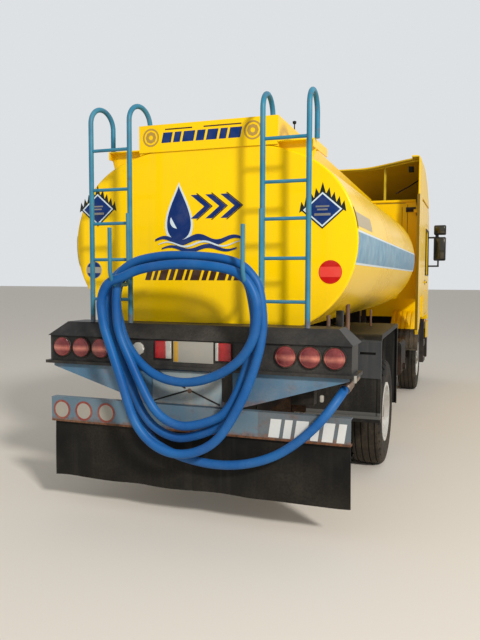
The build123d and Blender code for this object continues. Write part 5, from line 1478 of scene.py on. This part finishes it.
def addGrille():
    heights = [grille["lowest"] + grille["pitch"] * slot for slot in range(grille["slots"])]
    for slot, z in enumerate(heights):
        low, high = ((x, y, z + lift) for x, y, lift in (grille["backLow"], grille["backHigh"]))
        back = addBlock("grilleBack" + str(slot), low, high, 0.0005)
        fitOut(back, "lampDark", "service_panel", "plastic_black")
    rod = addBlock("rodModel", grille["rodLow"], grille["rodHigh"], 0.0)
    xs = [grille["firstRod"] + grille["rodPitch"] * step for step in range(grille["rods"])]
    rods = addMany("grilleRods", rod, [(x, grille["rodY"], z) for z in heights for x in xs])
    wire = addBlock("wireModel", grille["wireLow"], grille["wireHigh"], 0.0)
    places = [(0, grille["wireY"], z + lift) for z in heights for lift in grille["wireLifts"]]
    for bars in (rods, addMany("grilleWires", wire, places)):
        fitOut(bars, "plasticBlack", "service_panel", "plastic_black")


def addFrontSide(side, label):
    bowls = []
    lenses = []
    for x in frontLamps["xs"]:
        centre = (side * x, frontLamps["y"], frontLamps["z"])
        bowls.append(addRound("bowl", centre, frontLamps["tilt"], frontLamps["bowl"], 32))
        lenses.append(addRound("lens", centre, frontLamps["tilt"], frontLamps["lens"], 32))
    fitOut(joinPieces("headlampBowls" + label, bowls), "chromeRing", "root", "rim_silver")
    fitOut(joinPieces("headlampLenses" + label, lenses), "lensClear", "root", "lamp_clear")
    x, y, z = frontLamps["fogPlace"]
    fog = addRound("fogLamp" + label, (side * x, y, z), (0, 1, 0), frontLamps["fog"], 32)
    fitOut(fog, "lensClear", "root", "lamp_clear")
    ribs = addBlock("ribModel", stepRibs["low"], stepRibs["high"], 0.002)
    ys = [stepRibs["firstY"] + stepRibs["pitch"] * step for step in range(stepRibs["count"])]
    places = [(side * stepRibs["x"], y, z) for z in stepRibs["heights"] for y in ys]
    treads = addMany("stepRibs" + label, ribs, places)
    fitOut(treads, "steelWorn", "root", "fitting_steel")


addGrille()
for side, label in sides:
    addFrontSide(side, label)
print("front dressed")


# Chassis: tank straps, fuel cap, brake chambers and bolt heads

chassisFittings = {
    "strap": [(-0.456, 0.986), (-1.104, 0.986), (-1.104, 0.394), (-0.456, 0.394)], "strapYs": (-0.12, 0.57),
    "strapHalfWidth": 0.03, "strapHalfDepth": 0.003,
    "fuelCap": [(0.0, 0.0), (0.0, 0.05), (0.018, 0.05), (0.026, 0.044), (0.028, 0.0)],
    "capPlace": (-0.78, 0.66, 0.988),
    "chamber": [(0.0, 0.0), (0.0, 0.05), (0.02, 0.072), (0.06, 0.075), (0.064, 0.082), (0.074, 0.082),
                (0.078, 0.075), (0.13, 0.072), (0.15, 0.05), (0.15, 0.0)],
    "chamberPlaces": [(-0.52, -2.165, 0.62), (0.52, -2.165, 0.62)],
    "bolt": [(0.0, 0.0), (0.0, 0.013), (0.008, 0.013), (0.01, 0.01), (0.01, 0.0)], "boltSink": 0.0005,
    "boltHeights": (0.86, 1.0), "firstBoltY": -3.6, "boltPitch": 0.28, "boltCount": 27,
}


def strapRing(y):
    outline = chassisFittings["strap"]
    deep, wide = chassisFittings["strapHalfDepth"], chassisFittings["strapHalfWidth"]
    bars = []
    for (x0, z0), (x1, z1) in zip(outline, outline[1:] + outline[:1]):
        low = (min(x0, x1) - deep, y - wide, min(z0, z1) - deep)
        high = (max(x0, x1) + deep, y + wide, max(z0, z1) + deep)
        bars.append(addBlock("bar", low, high, 0.002))
    return joinPieces("strap", bars)


def addRailBolts():
    bolt = addRound("boltModel", (0, 0, 0), (1, 0, 0), chassisFittings["bolt"], 6)
    x = nodes["chassis_frame"].dimensions.x / 2 - chassisFittings["boltSink"]
    rear, pitch = chassisFittings["firstBoltY"], chassisFittings["boltPitch"]
    ys = [rear + pitch * step for step in range(chassisFittings["boltCount"])]
    right = addMany("railBoltsRight", bolt, [(x, y, z) for y in ys for z in chassisFittings["boltHeights"]])
    left = copyPiece(right, "railBoltsLeft", mirrorX=True)
    for bolts in (right, left):
        fitOut(bolts, "castIron", "root", "cast_iron")


def addChassisFittings():
    straps = [strapRing(y) for y in chassisFittings["strapYs"]]
    fitOut(joinPieces("fuelStraps", straps), "steelWorn", "root", "fitting_steel")
    cap = addRound("fuelCap", chassisFittings["capPlace"], (0, 0, 1), chassisFittings["fuelCap"], 24)
    fitOut(cap, "plasticBlack", "root", "plastic_black")
    model = addRound("chamberModel", (0, 0, 0), (0, 1, 0), chassisFittings["chamber"], 28)
    chambers = addMany("brakeChambers", model, chassisFittings["chamberPlaces"])
    fitOut(chambers, "chassisDark", "root", "chassis_dark")
    addRailBolts()


addChassisFittings()
print("chassis fittings placed")


# Padded seats and bunk: rounded blocks puffed out by a short cloth run, with piping along their seams

pads = {  # low corner, high corner, mesh size, cap on the movement
    "seatCushion": ((0.35, 3.02, 1.567), (0.85, 3.52, 1.713), 0.012, 0.02),
    "seatBack": ((0.357, 2.984, 1.716), (0.843, 3.096, 2.3), 0.012, 0.02),
    "headRest": ((0.462, 3.008, 2.312), (0.738, 3.092, 2.488), 0.01, 0.012),
    "bunkPad": ((-1.146, 2.218, 1.664), (1.146, 2.932, 1.838), 0.022, 0.012),
}
fabric = {"quality": 6, "mass": 0.3, "pressure": 4.0, "frames": 20, "corner": 0.028, "swell": 0.004}
seats = {"apart": 1.2, "pipingInset": 0.012, "pipingDrop": 0.016,
         "baseLow": (0.41, 3.07, 1.322), "baseHigh": (0.79, 3.45, 1.5665),
         "posts": [("Inner", 0.54), ("Outer", 0.66)], "postY": 3.05, "postZ": (2.29, 2.33)}


def addPad(name, low, high, grain, cap):
    pad = addBlock(name, low, high, fabric["corner"], 3)
    applyModifier(pad, "REMESH", mode="VOXEL", voxel_size=grain)
    before = [vertex.co.copy() for vertex in pad.data.vertices]
    modifier = pad.modifiers.new("Cloth", "CLOTH")
    settings = modifier.settings
    settings.quality = fabric["quality"]
    settings.mass = fabric["mass"]
    settings.use_pressure = True
    settings.uniform_pressure_force = fabric["pressure"]
    settings.effector_weights.gravity = 0.0
    for number in range(1, fabric["frames"] + 1):
        bpy.context.scene.frame_set(number)
    makeActive(pad)
    bpy.ops.object.modifier_apply(modifier=modifier.name)
    bpy.context.scene.frame_set(1)
    for vertex, start in zip(pad.data.vertices, before):
        move = vertex.co - start
        if move.length > cap:
            vertex.co = start + move * (cap / move.length)
        for axis in range(3):
            lowest, highest = low[axis] - fabric["swell"], high[axis] + fabric["swell"]
            vertex.co[axis] = min(max(vertex.co[axis], lowest), highest)
    bpy.context.view_layer.objects.active = pad
    for face in pad.data.polygons:
        face.use_smooth = True
    return pad


def addPiping(name, low, high):  # a sewn cord round the pad's upper edge
    inset, z = seats["pipingInset"], high[2] - seats["pipingDrop"]
    left, right, rear, front = low[0] + inset, high[0] - inset, low[1] + inset, high[1] - inset
    corners = [(left, rear, z), (right, rear, z), (right, front, z), (left, front, z)]
    return addTube(name, corners, 0.005, True)


def addSeats():
    shift = (-seats["apart"], 0, 0)
    for name in ("seatCushion", "seatBack", "headRest"):
        right = addPad(name + "Right", *pads[name])
        left = copyPiece(right, name + "Left", shift)
        for pad in (right, left):
            fitOut(pad, "seatCloth", "cab", "seat_fabric")
    bunk = addPad("bunkPad", *pads["bunkPad"])
    fitOut(bunk, "seatCloth", "cab", "seat_fabric")
    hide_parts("bunk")
    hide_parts("seats")
    piping = addPiping("cushionPipingRight", *pads["seatCushion"][:2])
    for piece in (piping, copyPiece(piping, "cushionPipingLeft", shift)):
        fitOut(piece, "plasticBlack", "cab", "seat_fabric")
    for side, label in sides:
        base = addSideBlock("seatBase" + label, side, seats["baseLow"], seats["baseHigh"], 0.02, 3)
        fitOut(base, "plasticBlack", "cab", "plastic_black")
        for end, x in seats["posts"]:
            points = [(side * x, seats["postY"], z) for z in seats["postZ"]]
            post = addTube("restPost" + label + end, points, 0.007)
            fitOut(post, "chromeRing", "cab", "rim_silver")


addSeats()
print("seats and bunk padded")
